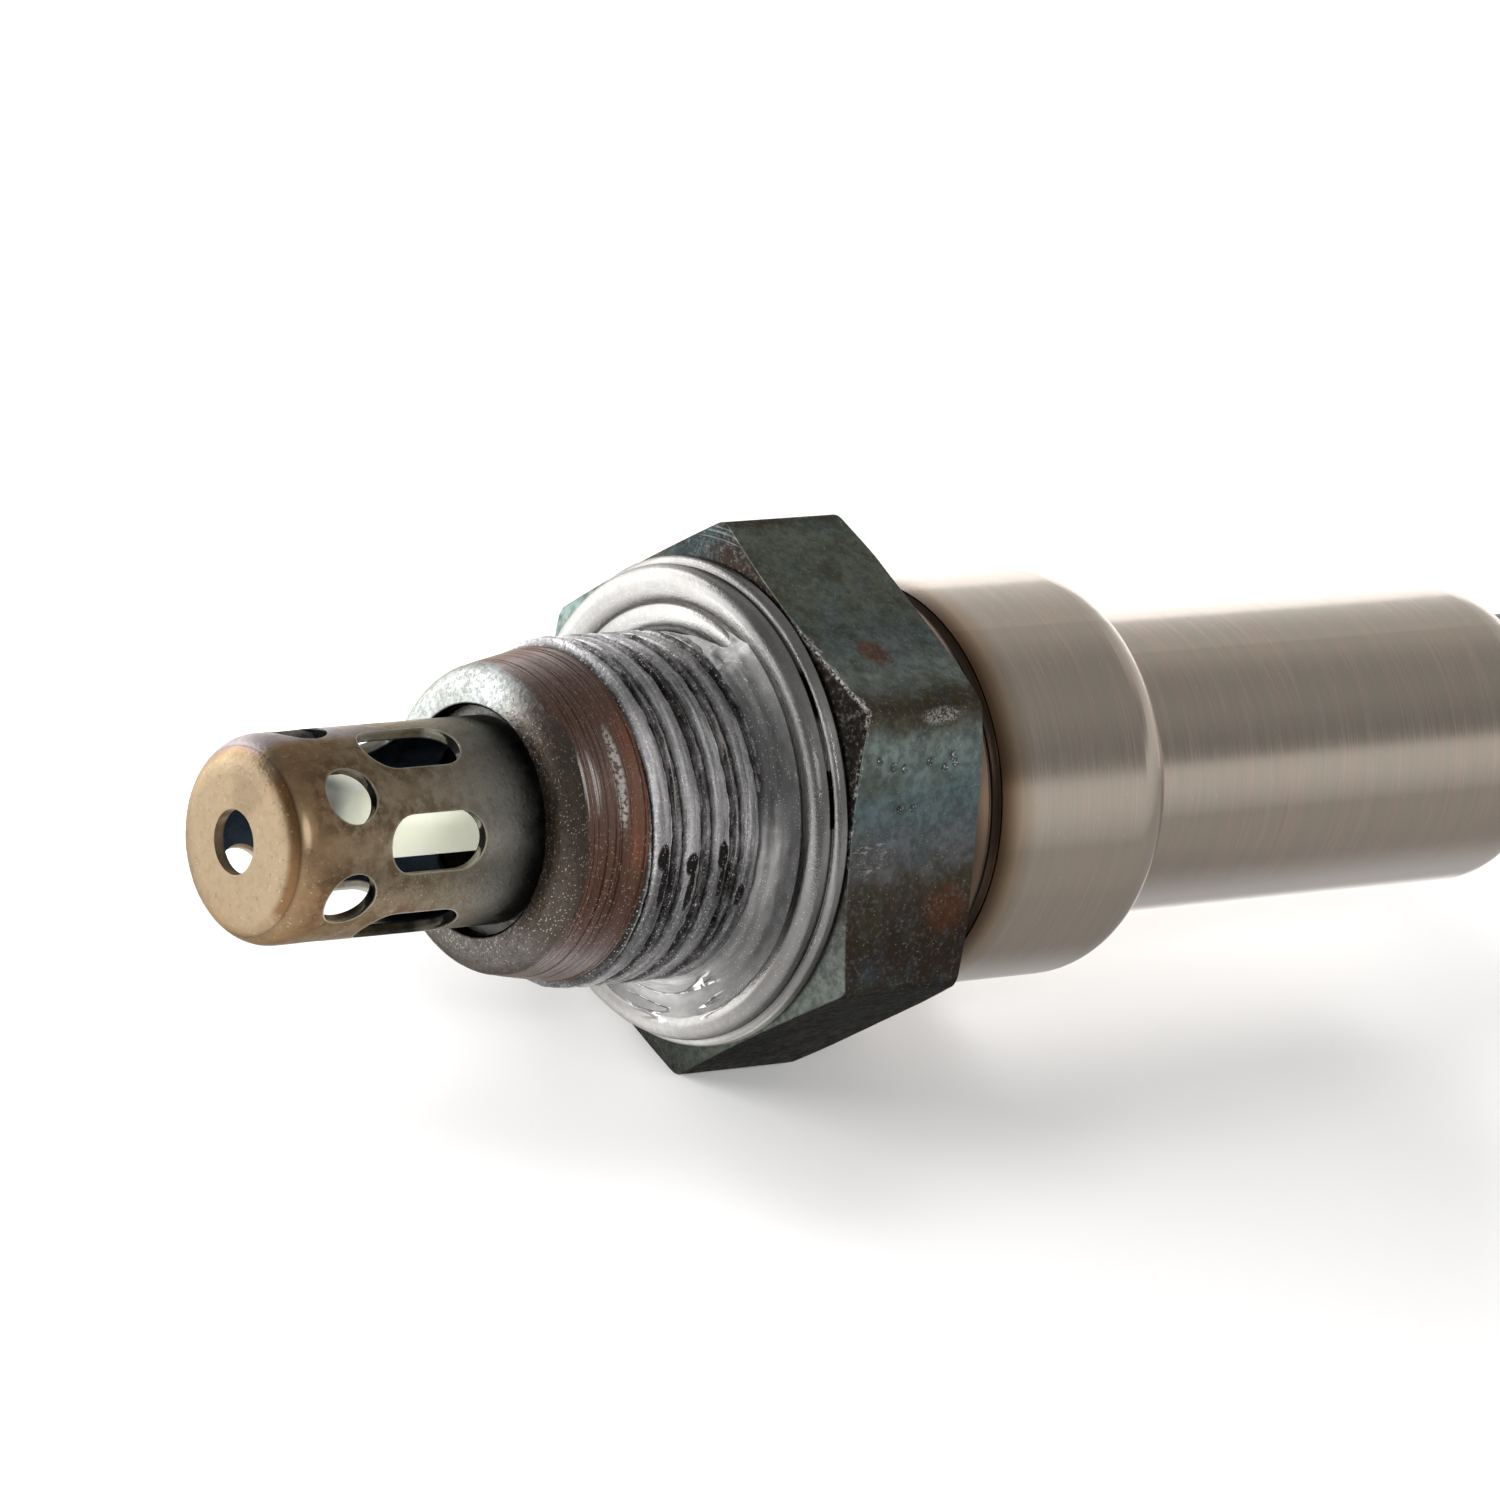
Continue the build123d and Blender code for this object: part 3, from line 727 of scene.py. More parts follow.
sleeve.bump(brush, 0.0022)
wear(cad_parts["sleeve"], sleeve)

# %% [markdown]
# ## The protection tube
# The tube sits in the exhaust, so heat has coloured it in zones: a tan end, a brown ring at its
# rounding, an olive middle with brown stains, and dark grey where the shell cools it. It is painted
# lighter and darker round the axis by how the light falls, with a painted sky reflection along its top
# and a painted golden highlight on the rounding. The punched holes have painted bright rims, and their
# cut walls are painted dark as shade. The inside is blue-black.

# %% Where the holes are
hole_station = -17.0
slot_station = -13.67
hole_angle = 54.5
slot_angle = 24.5
tube_radius = 3.55
opening_radius = 1.0
half_slot_length = 0.975


def to_opening(finish, station, first_angle, half_slot):
    """Distance in mm from the edge of the nearest of six openings, round or drawn out to a slot."""
    sixth = 60.0
    turned = maths("FLOORED_MODULO", minus(finish.angle, first_angle - sixth / 2), sixth)
    across = times(minus(turned, sixth / 2), tube_radius * pi / 180)
    off = maths("ABSOLUTE", minus(finish.station, station))
    beyond = larger(minus(off, half_slot), 0.0)
    flat = node(finish.tree, "CombineXYZ", {0: beyond, 1: across}).outputs[0]
    reach = node(finish.tree, "VectorMath", {0: flat}, operation="LENGTH").outputs["Value"]
    return minus(reach, opening_radius)


# %% Brown the tube
tube = Finish("browned_tube", roughness=0.34)
tube.set("Specular Tint", colour(186, 182, 176))
wander = sway(tube.patch(1.6, 0.5, 0.35), 0.9)
zone = bands(plus(tube.station, wander), [
    (-20, 168, 150, 125), (-19.35, 164, 145, 119), (-19, 186, 155, 118), (-18.4, 174, 141, 109),
    (-17.4, 174, 150, 120), (-15.5, 180, 162, 136), (-13.2, 178, 166, 144), (-11.6, 172, 168, 156),
    (-10.2, 160, 160, 155), (-9, 120, 120, 118),
])
to_round_hole = to_opening(tube, hole_station, hole_angle, 0.0)
to_hole = maths("MINIMUM", to_round_hole, to_opening(tube, slot_station, slot_angle, half_slot_length))
outside = ramp(tube.radius, 3.3, 3.42)
stain = times(tube.patch(0.5, 0.5, 0.1), ramp(to_hole, 1.4, 0.1))
# Painted light and shade: the tube is lighter and darker round the axis by how the light falls on it.
shade = bands(tube.angle, [
    (60, 0.7), (72, 0.68), (80, 0.56), (92, 0.6), (104, 0.74), (114, 0.86), (122, 1), (142, 0.95),
    (152, 0.76), (162, 0.58), (172, 0.52), (210, 0.5), (360, 0.5),
])
end_cap = ramp(tube.station, -19.1, -19.35)
zone = darken(zone, shade, minus(1.0, end_cap))
browned_with_painted_light = blend(times(stain, ramp(tube.station, -12.2, -14.5, 0.3, 0.65)), zone, colour(96, 72, 50))
streaks = tube.patch(0.28, 0.42, 0.1, 12.0)
browned_with_painted_light = cover(browned_with_painted_light, streaks, 0.15, colour(58, 50, 42))
# Painted reflection: a pale bluish sheen of the sky is painted along the top of the tube's front.
painted_sky_reflection = times(ramp(tube.angle, 77.0, 65.0), ramp(tube.station, -13.0, -16.0))
painted_sky_reflection = times(painted_sky_reflection, minus(1.0, end_cap))
browned_with_painted_light = cover(browned_with_painted_light, painted_sky_reflection, 0.8, colour(168, 162, 170))
# The brown ring at the rolled edge is heat colour. It is painted darker on the side turned from the light, as
# painted shade.
shaded_side = within(tube.angle, 142.0, 40.0, 18.0)
rolled_edge = times(ramp(tube.radius, 2.75, 3.0), within(tube.station, -19.4, 0.22, 0.1))
rolled_edge = times(rolled_edge, ramp(shaded_side, 0.0, 1.0, 0.25, 1.0))
browned_with_painted_light = cover(browned_with_painted_light, rolled_edge, 0.85, colour(112, 80, 50))
smudge = times(end_cap, tube.spot(-19.5, 75.0, 2.0, 22.0, 0.8, 0.4))
browned_with_painted_light = cover(browned_with_painted_light, smudge, 0.3, colour(106, 88, 72))
# Painted highlight: a small golden glint on the rounding.
painted_gilt_highlight = tube.spot(-18.98, 133.0, 0.1, 9.0, 0.4, 0.6)
browned_with_painted_light = blend(painted_gilt_highlight, browned_with_painted_light, colour(255, 226, 184))
speckle = tube.patch(0.22, 0.36, 0.05, 4.0)
browned_with_painted_light = cover(browned_with_painted_light, speckle, 0.35, colour(70, 54, 38))
dust = tube.grain(0.09, 0.05)
browned_with_painted_light = cover(browned_with_painted_light, dust, 0.4, colour(196, 190, 176))
# Painted highlight: thin bright lines round the rims of the openings.
painted_hole_rim_highlight = times(ramp(to_hole, 0.07, 0.02), outside)
browned_with_painted_light = cover(browned_with_painted_light, painted_hole_rim_highlight, 0.5, colour(206, 208, 200))
# Painted shade: the cut walls of the openings are painted dark.
painted_hole_wall_shade = times(ramp(to_hole, 0.012, 0.006), ramp(tube.radius, 3.53, 3.48))
browned_with_painted_light = blend(painted_hole_wall_shade, browned_with_painted_light, colour(44, 43, 43))
bore = times(ramp(tube.radius, 3.22, 3.17), ramp(tube.station, -19.22, -19.12))
tube.set("Base Color", blend(bore, browned_with_painted_light, colour(46, 54, 68)))
tube.set("Roughness", ramp(tube.patch(0.5, 0.5, 0.3, 7.0), 0.0, 1.0, 0.26, 0.44))
tube.bump(tube.patch(0.14, 0.5, 0.35, 2.0), 0.011)
wear(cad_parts["protection_tube"], tube)

# %% [markdown]
# ## The nose and lead of the shell
# Turned steel, browned by heat. The rolled lip in front is painted silver-grey above and dark below, as
# painted light and shade. The lead behind it is copper brown with fine tool lines, and is painted lighter
# and darker round the axis in the same way. A painted copper highlight lies on the lead, and in one place
# the tool lines carry a painted bright highlight. Beside it, crumbs of pale paste stick to the steel. Both
# tables of colours run round the axis, and the mouth round the tube is painted black as shade.

# %% Brown the nose
nose = Finish("turned_nose", roughness=0.27)
nose.set("Specular Tint", colour(150, 146, 140))
lines = nose.ring(15.0, 0.1)
# Painted light and shade: the lip's colours by angle, light above and dark below.
lip = bands(nose.angle, [
    (30, 178, 183, 180), (50, 176, 180, 178), (62, 197, 201, 202), (72, 190, 195, 193), (81, 153, 152, 148),
    (90, 112, 106, 101), (102, 92, 83, 76), (122, 83, 76, 67), (140, 77, 69, 62), (160, 79, 70, 64),
    (186, 80, 73, 67), (200, 104, 100, 98), (260, 110, 108, 104), (320, 186, 190, 188),
])
# Painted light and shade: the lead's colours by angle, brightest where it faces the light.
lead = bands(nose.angle, [
    (40, 200, 176, 168), (52, 222, 192, 188), (60, 240, 226, 226), (70, 196, 180, 178), (80, 150, 130, 126),
    (90, 136, 113, 102), (100, 140, 111, 98), (112, 154, 126, 116), (124, 176, 146, 134),
    (136, 152, 121, 108), (150, 131, 100, 86), (160, 121, 91, 77), (170, 110, 84, 73), (180, 117, 96, 90),
    (190, 138, 123, 120), (200, 178, 168, 168), (260, 150, 132, 122),
])
turned_bands = bands(plus(nose.station, sway(lines, 0.5)), [
    (-9.2, 0.5), (-8.75, 0.66), (-8.45, 0.72), (-8.1, 0.66), (-7.75, 0.76), (-7.45, 0.62), (-7.2, 0.76),
    (-6.95, 0.74), (-6.65, 0.8, 0.04), (-6.35, 0.55),
])
hammered = nose.patch(0.16, 0.45, 0.1, 6.0)
lip = cover(lip, hammered, 0.35, colour(70, 64, 56))
wander = sway(nose.patch(1.4, 0.5, 0.4, 14.0), 0.4)
sooner = ramp(within(nose.angle, 80.0, 14.0, 10.0), 0.0, 1.0, 0.0, 0.34)
zone = blend(ramp(plus(plus(nose.station, sooner), wander), -8.85, -8.65), lip, darken(lead, turned_bands))
# Painted highlight: a copper-orange glint in the tool lines of the lead.
painted_copper_highlight = times(within(nose.angle, 128.0, 18.0, 16.0), within(nose.station, -6.75, 0.22, 0.2))
zone = blend(times(painted_copper_highlight, ramp(nose.ring(11.0, 0.15), 0.46, 0.56, 0.2, 0.9)), zone, colour(166, 106, 82))
fine = ramp(nose.ring(6.0, 0.1), 0.5, 0.57)
# Painted highlight: in one place the tool lines are painted bright. Pale paste crumbs lie beside it.
rub_marks_and_glint = times(fine, nose.spot(-8.55, 125.0, 0.34, 12.0, 0.4, 0.3))
crumbs = times(nose.patch(0.13, 0.52, 0.06, 17.0), nose.spot(-7.42, 124.0, 0.2, 18.0, 0.5, 0.3))
zone = blend(larger(rub_marks_and_glint, crumbs), zone, colour(240, 234, 228))
dark_lines = times(ramp(lines, 0.47, 0.38), ramp(nose.station, -8.75, -8.5))
zone = cover(zone, dark_lines, 0.7, colour(48, 34, 30))
dust = nose.grain(0.065, 0.15)
zone = cover(zone, dust, 0.55, colour(206, 200, 190))
# Painted shade: the mouth round the tube is painted near black.
painted_mouth_shade = times(ramp(nose.radius, 4.75, 4.5), ramp(nose.station, -9.5, -9.38))
painted_mouth_shade = larger(painted_mouth_shade, ramp(nose.radius, 4.05, 3.95))
nose.set("Base Color", blend(painted_mouth_shade, zone, colour(22, 20, 18)))
nose.set("Roughness", ramp(lines, 0.3, 0.7, 0.22, 0.36))
nose.bump(plus(times(lines, 0.6), plus(nose.patch(0.14, 0.5, 0.25), hammered)), 0.011)
wear(shell_nose, nose)

# %% [markdown]
# ## The thread
# Anti-seize paste covers it: matt grey with fine bright metal flakes, smeared round in streaks. The
# narrow ridges of steel between the lands of paste are rubbed bare and look dark, with a painted highlight
# line along one side. The narrow grooves beside the ridges are painted dark, partly as bare steel and
# partly as painted shade, and the whole thread is painted lighter and darker round the axis by how the
# light falls. In a few places the paste has chipped off. A ridge is found from how far its point lies
# along the pitch, which grows with the station and falls with the angle.

# %% Paste the thread
# Each chip is (station, angle, half its length, half its turn).
chips = [
    (-5.8, 162.0, 0.16, 8.0), (-4.68, 155.0, 0.24, 4.0), (-4.6, 164.0, 0.14, 8.0),
    (-3.38, 153.0, 0.2, 4.5), (-3.3, 162.0, 0.12, 6.0), (-2.3, 168.0, 0.16, 4.0),
]
thread = Finish("pasted_thread", roughness=0.4, metallic=0.8)
smear = thread.ring(5.0, 0.3)
paste = blend(ramp(smear, 0.32, 0.68), colour(154, 152, 153), colour(240, 239, 240))
clumps = thread.patch(0.22, 0.5, 0.25, 2.0)
paste = cover(paste, clumps, 0.25, colour(104, 100, 98))
streak = thread.ring(9.0, 0.12)
paste = cover(paste, ramp(streak, 0.42, 0.34), 0.5, colour(76, 72, 70))
pitches = times(minus(thread.station, first_turn), 1 / thread_pitch)
pitches = minus(pitches, times(minus(thread.angle, 90.0), 1 / 360))
along_turn = times(maths("FRACT", pitches), thread_pitch)
ridge = within(along_turn, 1.0, 0.11, 0.04)
# Painted highlight: a thin bright line along one side of each ridge.
painted_ridge_highlight = times(within(along_turn, 1.17, 0.02, 0.03), thread.patch(0.5, 0.5, 0.15, 47.0))
bare_ridge = times(ridge, ramp(thread.patch(0.9, 0.5, 0.2, 41.0), 0.0, 1.0, 0.55, 1.0))
paste = blend(bare_ridge, paste, blend(ramp(streak, 0.54, 0.62), colour(50, 45, 43), colour(160, 154, 150)))
paste = cover(paste, painted_ridge_highlight, 0.7, colour(255, 252, 250))
# The narrow grooves are painted dark: partly bare steel, partly painted shade in the groove.
open_root = thread.patch(1.3, 0.6, 0.25, 31.0)
root = times(ramp(thread.radius, 5.88, 5.72), plus(times(open_root, 0.4), 0.6))
paste = blend(root, paste, colour(52, 45, 42))
# Painted light and shade: the thread is lighter where it faces the light and darker below.
shaded = bands(thread.angle, [
    (40, 0.8), (60, 0.8), (75, 0.44), (92, 0.32), (102, 0.52), (112, 0.9), (122, 1), (150, 1), (159, 0.44),
    (172, 0.27), (186, 0.27), (200, 0.33), (300, 0.55),
])
paste = darken(paste, shaded)
chip = thread.spot(-5.95, 152.0, 0.24, 4.5, 0.7)
for station, angle, half_length, half_turn in chips:
    chip = larger(chip, thread.spot(station, angle, half_length, half_turn, 1.3))
paste = blend(chip, paste, colour(30, 25, 24))
flakes = thread.grain(0.065, 0.2)
thread.set("Base Color", cover(paste, flakes, 0.55, colour(214, 214, 216)))
thread.set("Roughness", ramp(clumps, 0.0, 1.0, 0.24, 0.36))
uneven = plus(times(smear, 0.6), times(clumps, 0.5))
thread.bump(minus(uneven, chip), 0.06)
wear(shell_thread, thread)
wear(paste_bead, thread)

# %% [markdown]
# ## Wet paste
# Near the bottom of the corner the paste is still wet. It lies in long low runs round the axis, each
# with a thin rim of painted shade and a few painted glints, white and glowing faintly. A cloud that is
# drawn out along the angle gives them: its high side is the run, a narrow band of it the rim, and a band
# beside that, cut up, the glints.
# The group is shared by the smear and the ring under it, so that the runs go on from one to the other.

# %% Runs of wet paste
run_inputs = {"Point": origin, "Angle": 0.0, "Radius": 0.0}
runs, given, runs_out = new_group("runs of wet paste", run_inputs, ["Run", "Rim", "Glint"])
along_runs, across_runs, run_seed = 0.034, 2.3, 4.0
stretch = {0: times(given["Angle"], along_runs), 1: times(given["Radius"], across_runs), 2: run_seed}
drawn_out = node(runs, "CombineXYZ", stretch).outputs[0]
cloud = node(runs, "TexNoise", {"Vector": drawn_out, "Scale": 1.0, "Detail": 0.6, "Roughness": 0.5}).outputs[0]
cut = node(runs, "TexNoise", {"Vector": given["Point"], "Scale": 2.2, "Detail": 1.0}).outputs[0]
wet_area = times(within(given["Angle"], 226.0, 14.0, 10.0), within(given["Radius"], 6.85, 0.6, 0.2))
painted_glint = times(within(cloud, 0.5, 0.01, 0.012), ramp(cut, 0.48, 0.53))
put(times(ramp(cloud, 0.49, 0.53), wet_area), runs_out["Run"])
put(times(within(cloud, 0.54, 0.006, 0.016), wet_area), runs_out["Rim"])
put(times(painted_glint, wet_area), runs_out["Glint"])


def wet_paste(finish, under, roughness):
    """Lays the runs over a finish; gives its colour, roughness and height."""
    wet = use(finish.tree, runs, Point=finish.point, Angle=finish.angle, Radius=finish.radius).outputs
    # Painted shade along each run's rim, and painted glints, white in colour and glowing through emission.
    under = cover(under, wet["Rim"], 0.6, colour(52, 52, 62))
    under = blend(wet["Glint"], under, colour(255, 255, 255))
    finish.set("Emission Color", blend(wet["Glint"], grey(0.0), grey(1.0)))
    finish.set("Emission Strength", 0.45)
    return under, times(roughness, ramp(wet["Run"], 0.0, 1.0, 1.0, 0.4)), wet["Run"]


# %% Smear the paste over the corner
smeared = Finish("smeared_paste", roughness=0.34, metallic=0.75)
wiped = smeared.ring(7.0, 0.3)
film = blend(ramp(wiped, 0.35, 0.65), colour(177, 176, 175), colour(230, 228, 227))
film = cover(film, smeared.patch(0.7, 0.5, 0.3, 5.0), 0.4, colour(164, 163, 163))
# Painted light and shade: the smear is lighter and darker round the axis, near the thread and near the seal's crown.
near_thread = bands(smeared.angle, [
    (58, 0.21), (75, 0.22), (90, 0.25), (104, 0.155), (120, 0.14), (136, 0.155), (150, 0.42), (165, 0.33),
    (180, 0.2), (196, 0.26), (211, 0.47), (225, 1), (242, 1), (256, 0.18),
])
near_crown = bands(smeared.angle, [
    (58, 0.21), (75, 0.24), (90, 0.36), (104, 0.33), (120, 0.18), (136, 0.15), (150, 0.2), (165, 0.2),
    (180, 0.26), (196, 0.3), (211, 0.4), (225, 0.74), (242, 0.6), (256, 0.2),
])
painted_light_by_angle = blend(ramp(smeared.radius, 6.6, 7.0), near_thread, near_crown)
film = darken(film, painted_light_by_angle)
flakes = smeared.grain(0.055, 0.12)
film = cover(film, flakes, 0.4, colour(206, 206, 206))
film, roughness, height = wet_paste(smeared, film, ramp(wiped, 0.3, 0.7, 0.28, 0.42))
smeared.set("Base Color", film)
smeared.set("Roughness", roughness)
smeared.bump(plus(times(wiped, 0.25), height), 0.07)
wear(paste_smear, smeared)

# %% [markdown]
# ## The hexagon
# Black oxide that heat has turned teal, olive and red-brown, different on each flat, and painted lighter
# and darker flat by flat by how the light falls, so the low flats are painted dark as shade. The chamfer
# is nearly black, painted lighter at the top. Spanners have worn the edge between them bright, and
# scratched and pitted one flat, and the pits carry painted glints.

# %% How far out a flat is
sixths, given, sixths_out = new_group("where on the hexagon", {"Radius": 0.0, "Angle": 0.0}, ["Distance"])
off_middle = times(minus(maths("FLOORED_MODULO", given["Angle"], 60.0), 30.0), pi / 180)
put(times(given["Radius"], maths("COSINE", off_middle)), sixths_out["Distance"])

# %% Tarnish the hexagon
hexagon = Finish("tarnished_hexagon", roughness=0.36, metallic=0.85)
hexagon.set("Specular Tint", colour(120, 118, 116))
tree = hexagon.tree
out_to_flat = use(tree, sixths, Radius=hexagon.radius, Angle=hexagon.angle).outputs["Distance"]
warp = sway(hexagon.patch(2.4, 0.5, 0.4, 1.0), 9.0)
round_angle = plus(hexagon.angle, warp)
# Partly the oxide's own colour and partly painted light and shade: the low flats are painted dark.
tarnish_and_shade = bands(round_angle, [
    (0, 96, 108, 104), (30, 86, 82, 66), (58, 70, 58, 48), (64, 98, 103, 94), (84, 97, 101, 92),
    (100, 92, 100, 100), (112, 118, 125, 120), (117.5, 70, 60, 50), (122, 80, 74, 62), (126, 130, 143, 138),
    (138, 98, 116, 118), (147, 104, 109, 113), (153, 104, 103, 105), (158, 74, 68, 58), (167, 58, 44, 37),
    (177, 54, 46, 41), (183, 62, 60, 58), (200, 50, 46, 46), (215, 44, 40, 41), (240, 52, 48, 46),
    (270, 78, 86, 82), (310, 82, 70, 58), (360, 96, 108, 104),
])
olive = hexagon.patch(1.5, 0.42, 0.14, 5.0)
tarnish_and_shade = cover(tarnish_and_shade, olive, 0.6, colour(72, 72, 54))
smudges = hexagon.patch(0.8, 0.36, 0.14, 27.0)
tarnish_and_shade = cover(tarnish_and_shade, smudges, 0.5, colour(48, 46, 42))
blue = hexagon.patch(1.1, 0.38, 0.12, 12.0)
tarnish_and_shade = cover(tarnish_and_shade, blue, 0.5, colour(76, 96, 108))
rust = hexagon.spot(2.4, 103.5, 0.55, 4.0, 1.0, 0.4)
rust = larger(rust, hexagon.spot(4.5, 164.0, 0.9, 5.0, 1.2, 0.5))
rust = larger(rust, times(hexagon.patch(0.9, 0.32, 0.06, 9.0), 0.6))
tarnish_and_shade = cover(tarnish_and_shade, rust, 0.75, colour(98, 62, 44))
mottle = hexagon.patch(0.32, 0.5, 0.12, 3.0)
tarnish_and_shade = cover(tarnish_and_shade, mottle, 0.38, colour(52, 50, 46))
fleck = hexagon.patch(0.14, 0.42, 0.08, 17.0)
tarnish_and_shade = cover(tarnish_and_shade, fleck, 0.3, colour(120, 128, 122))

# %% Wear the hexagon's edges
# Each pit is (station, angle).
pit_places = [
    (2.1, 131.5), (3.2, 130.5), (3.9, 132.0), (4.35, 131.0), (2.05, 140.5), (2.6, 140.3), (1.6, 131.0), (4.2, 129.5),
]
cone = times(minus(hexagon.radius, front_start), chamfer_slope)
past_cone = minus(hexagon.station, cone)
half_width = across_flats / 2
on_chamfer = times(ramp(past_cone, 0.1, 0.04), ramp(out_to_flat, half_width - 0.01, half_width - 0.05))
# Partly the chamfer's own near black and partly painted light: it is painted lighter at the top, with lighter rings
# at the upper corners.
chamfer_colour_and_shade = bands(hexagon.angle, [
    (0, 126, 143, 138), (18, 104, 119, 114), (36, 72, 72, 68), (48, 46, 57, 61), (57, 47, 51, 52),
    (64, 44, 34, 29), (92, 25, 19, 16), (155, 21, 16, 14), (163, 60, 59, 56), (178, 98, 103, 99),
    (205, 98, 106, 100), (240, 76, 80, 74), (300, 60, 56, 50), (360, 126, 143, 138),
])
rings_by_radius = {"W": times(hexagon.radius, 9.0), "Scale": 1.0, "Detail": 2.0}
radial = node(tree, "TexNoise", rings_by_radius, noise_dimensions="1D").outputs[0]
upper_corner = times(ramp(hexagon.radius, 8.9, 9.2), ramp(hexagon.angle, 78.0, 62.0))
striped = times(ramp(radial, 0.5, 0.6), upper_corner)
chamfer_colour_and_shade = cover(chamfer_colour_and_shade, striped, 0.4, colour(120, 138, 142))
chamfer_colour_and_shade = cover(chamfer_colour_and_shade, mottle, 0.45, colour(40, 38, 35))
chamfer_colour_and_shade = cover(chamfer_colour_and_shade, fleck, 0.22, colour(130, 134, 130))
tarnish_and_shade = blend(on_chamfer, tarnish_and_shade, chamfer_colour_and_shade)
ragged = sway(hexagon.patch(0.45, 0.5, 0.4, 8.0), 0.4)
off_edge = maths("ABSOLUTE", plus(past_cone, ragged))
edge_span = within(hexagon.angle, 123.0, 26.0, 8.0)
edge_width = ramp(within(hexagon.angle, 108.0, 10.0, 8.0), 0.0, 1.0, 0.0, 0.06)
worn_edge = times(times(ramp(minus(off_edge, edge_width), 0.05, 0.0), ramp(out_to_flat, 8.3, 8.42)), edge_span)
broken = times(hexagon.patch(0.1, 0.5, 0.08, 13.0), hexagon.patch(0.5, 0.62, 0.15, 33.0))
drawn_out = node(tree, "VectorMath", {0: hexagon.point, 1: (2.2, 9.0, 5.0)}, operation="MULTIPLY").outputs[0]
hair_noise = {"Vector": drawn_out, "Scale": 1.0, "Detail": 5.0, "Roughness": 0.7, "Distortion": 1.2}
hairs = ramp(node(tree, "TexNoise", hair_noise).outputs[0], 0.52, 0.6)
scratches = times(hexagon.spot(0.9, 150.0, 0.75, 5.0, 0.9, 0.3), hairs)
scuff = times(hexagon.spot(3.6, 121.5, 0.8, 1.6, 0.8, 0.3), hexagon.patch(0.08, 0.5, 0.06, 16.0))
scratches = larger(scratches, scuff)
bare = larger(times(worn_edge, broken), times(scratches, 0.75))
tarnish_and_shade = blend(bare, tarnish_and_shade, colour(176, 172, 170))
pits = hexagon.spot(0.98, 129.5, 0.13, 0.9, 0.5, 0.3)
for station, angle in pit_places:
    pits = larger(pits, hexagon.spot(station, angle, 0.13, 0.9, 0.8, 0.3))
tarnish_and_shade = cover(tarnish_and_shade, pits, 0.6, colour(52, 56, 58))
# Painted highlight: bright glints in the pits.
painted_pit_glints = times(pits, hexagon.patch(0.07, 0.42, 0.05, 19.0))
tarnish_and_shade = blend(painted_pit_glints, tarnish_and_shade, colour(216, 216, 216))
flakes = hexagon.grain(0.06, 0.02)
flakes = times(flakes, ramp(on_chamfer, 0.0, 1.0, 0.6, 0.2))
hexagon.set("Base Color", blend(flakes, tarnish_and_shade, colour(170, 172, 172)))
hexagon.set("Roughness", ramp(larger(mottle, bare), 0.0, 1.0, 0.3, 0.45))
relief = minus(times(hexagon.patch(0.3, 0.5, 0.3), 0.4), times(pits, 1.6))
hexagon.bump(plus(relief, times(bare, 0.6)), 0.03)
wear(shell_hexagon, hexagon)

# %% [markdown]
# ## Collar and weld
# The collar is browned like the lead. Along the axis it is painted with a highlight at the collar's edge
# and with dark shade in the weld's grooves, and its lower side is painted darker as shade.

# %% Brown the collar
collar = Finish("browned_collar", roughness=0.32)
wobble = sway(collar.patch(0.8, 0.5, 0.35), 0.12)
# Heat colours along the station, with a painted highlight at the collar's edge and painted shade in the weld's
# grooves.
browned_with_painted_light = bands(plus(collar.station, wobble), [
    (5.5, 60, 50, 46), (6.2, 98, 86, 79), (6.7, 118, 103, 95), (7.05, 156, 130, 107), (7.2, 150, 128, 108),
    (7.45, 50, 42, 38), (7.7, 72, 60, 52), (7.85, 58, 46, 38), (8.1, 104, 86, 68),
])
# Painted shade: the collar's lower side is darkened.
under = bands(ramp(collar.angle, 138.0, 158.0), [(0, 1.0), (1, 0.62)])
collar.set("Base Color", darken(browned_with_painted_light, under))
collar.bump(collar.ring(10.0, 0.25), 0.005)
wear(shell_collar, collar)
wear(weld_bead, collar)

# %% [markdown]
# ## Seal ring
# Plain steel, polished by the rolls that folded it and dulled by handling, with paste wiped over its
# lower side. Each of its four rolls, from the inner one out to the rim, has its own table of grey by
# angle, as painted light and shade: lighter where the roll faces the light and darker where it is turned
# away. A painted highlight runs along the low part of the rim, and the crease by the inner roll is painted
# dark as shade. Here and there the fold behind the rim stands open, and there the slit is painted black
# as shade, with no opening in the shape.

# %% Roll the seal ring's surface
seal = Finish("rolled_seal", roughness=0.26)
seal.set("Specular Tint", colour(186, 184, 182))
by_radius = times(seal.radius, 14.0)
rub_noise = {"Vector": seal.point, "W": by_radius, "Scale": 0.35, "Detail": 4.0, "Roughness": 0.6}
rub = node(seal.tree, "TexNoise", rub_noise, noise_dimensions="4D").outputs[0]
metal = blend(ramp(rub, 0.35, 0.65), colour(236, 233, 230), colour(250, 249, 247))
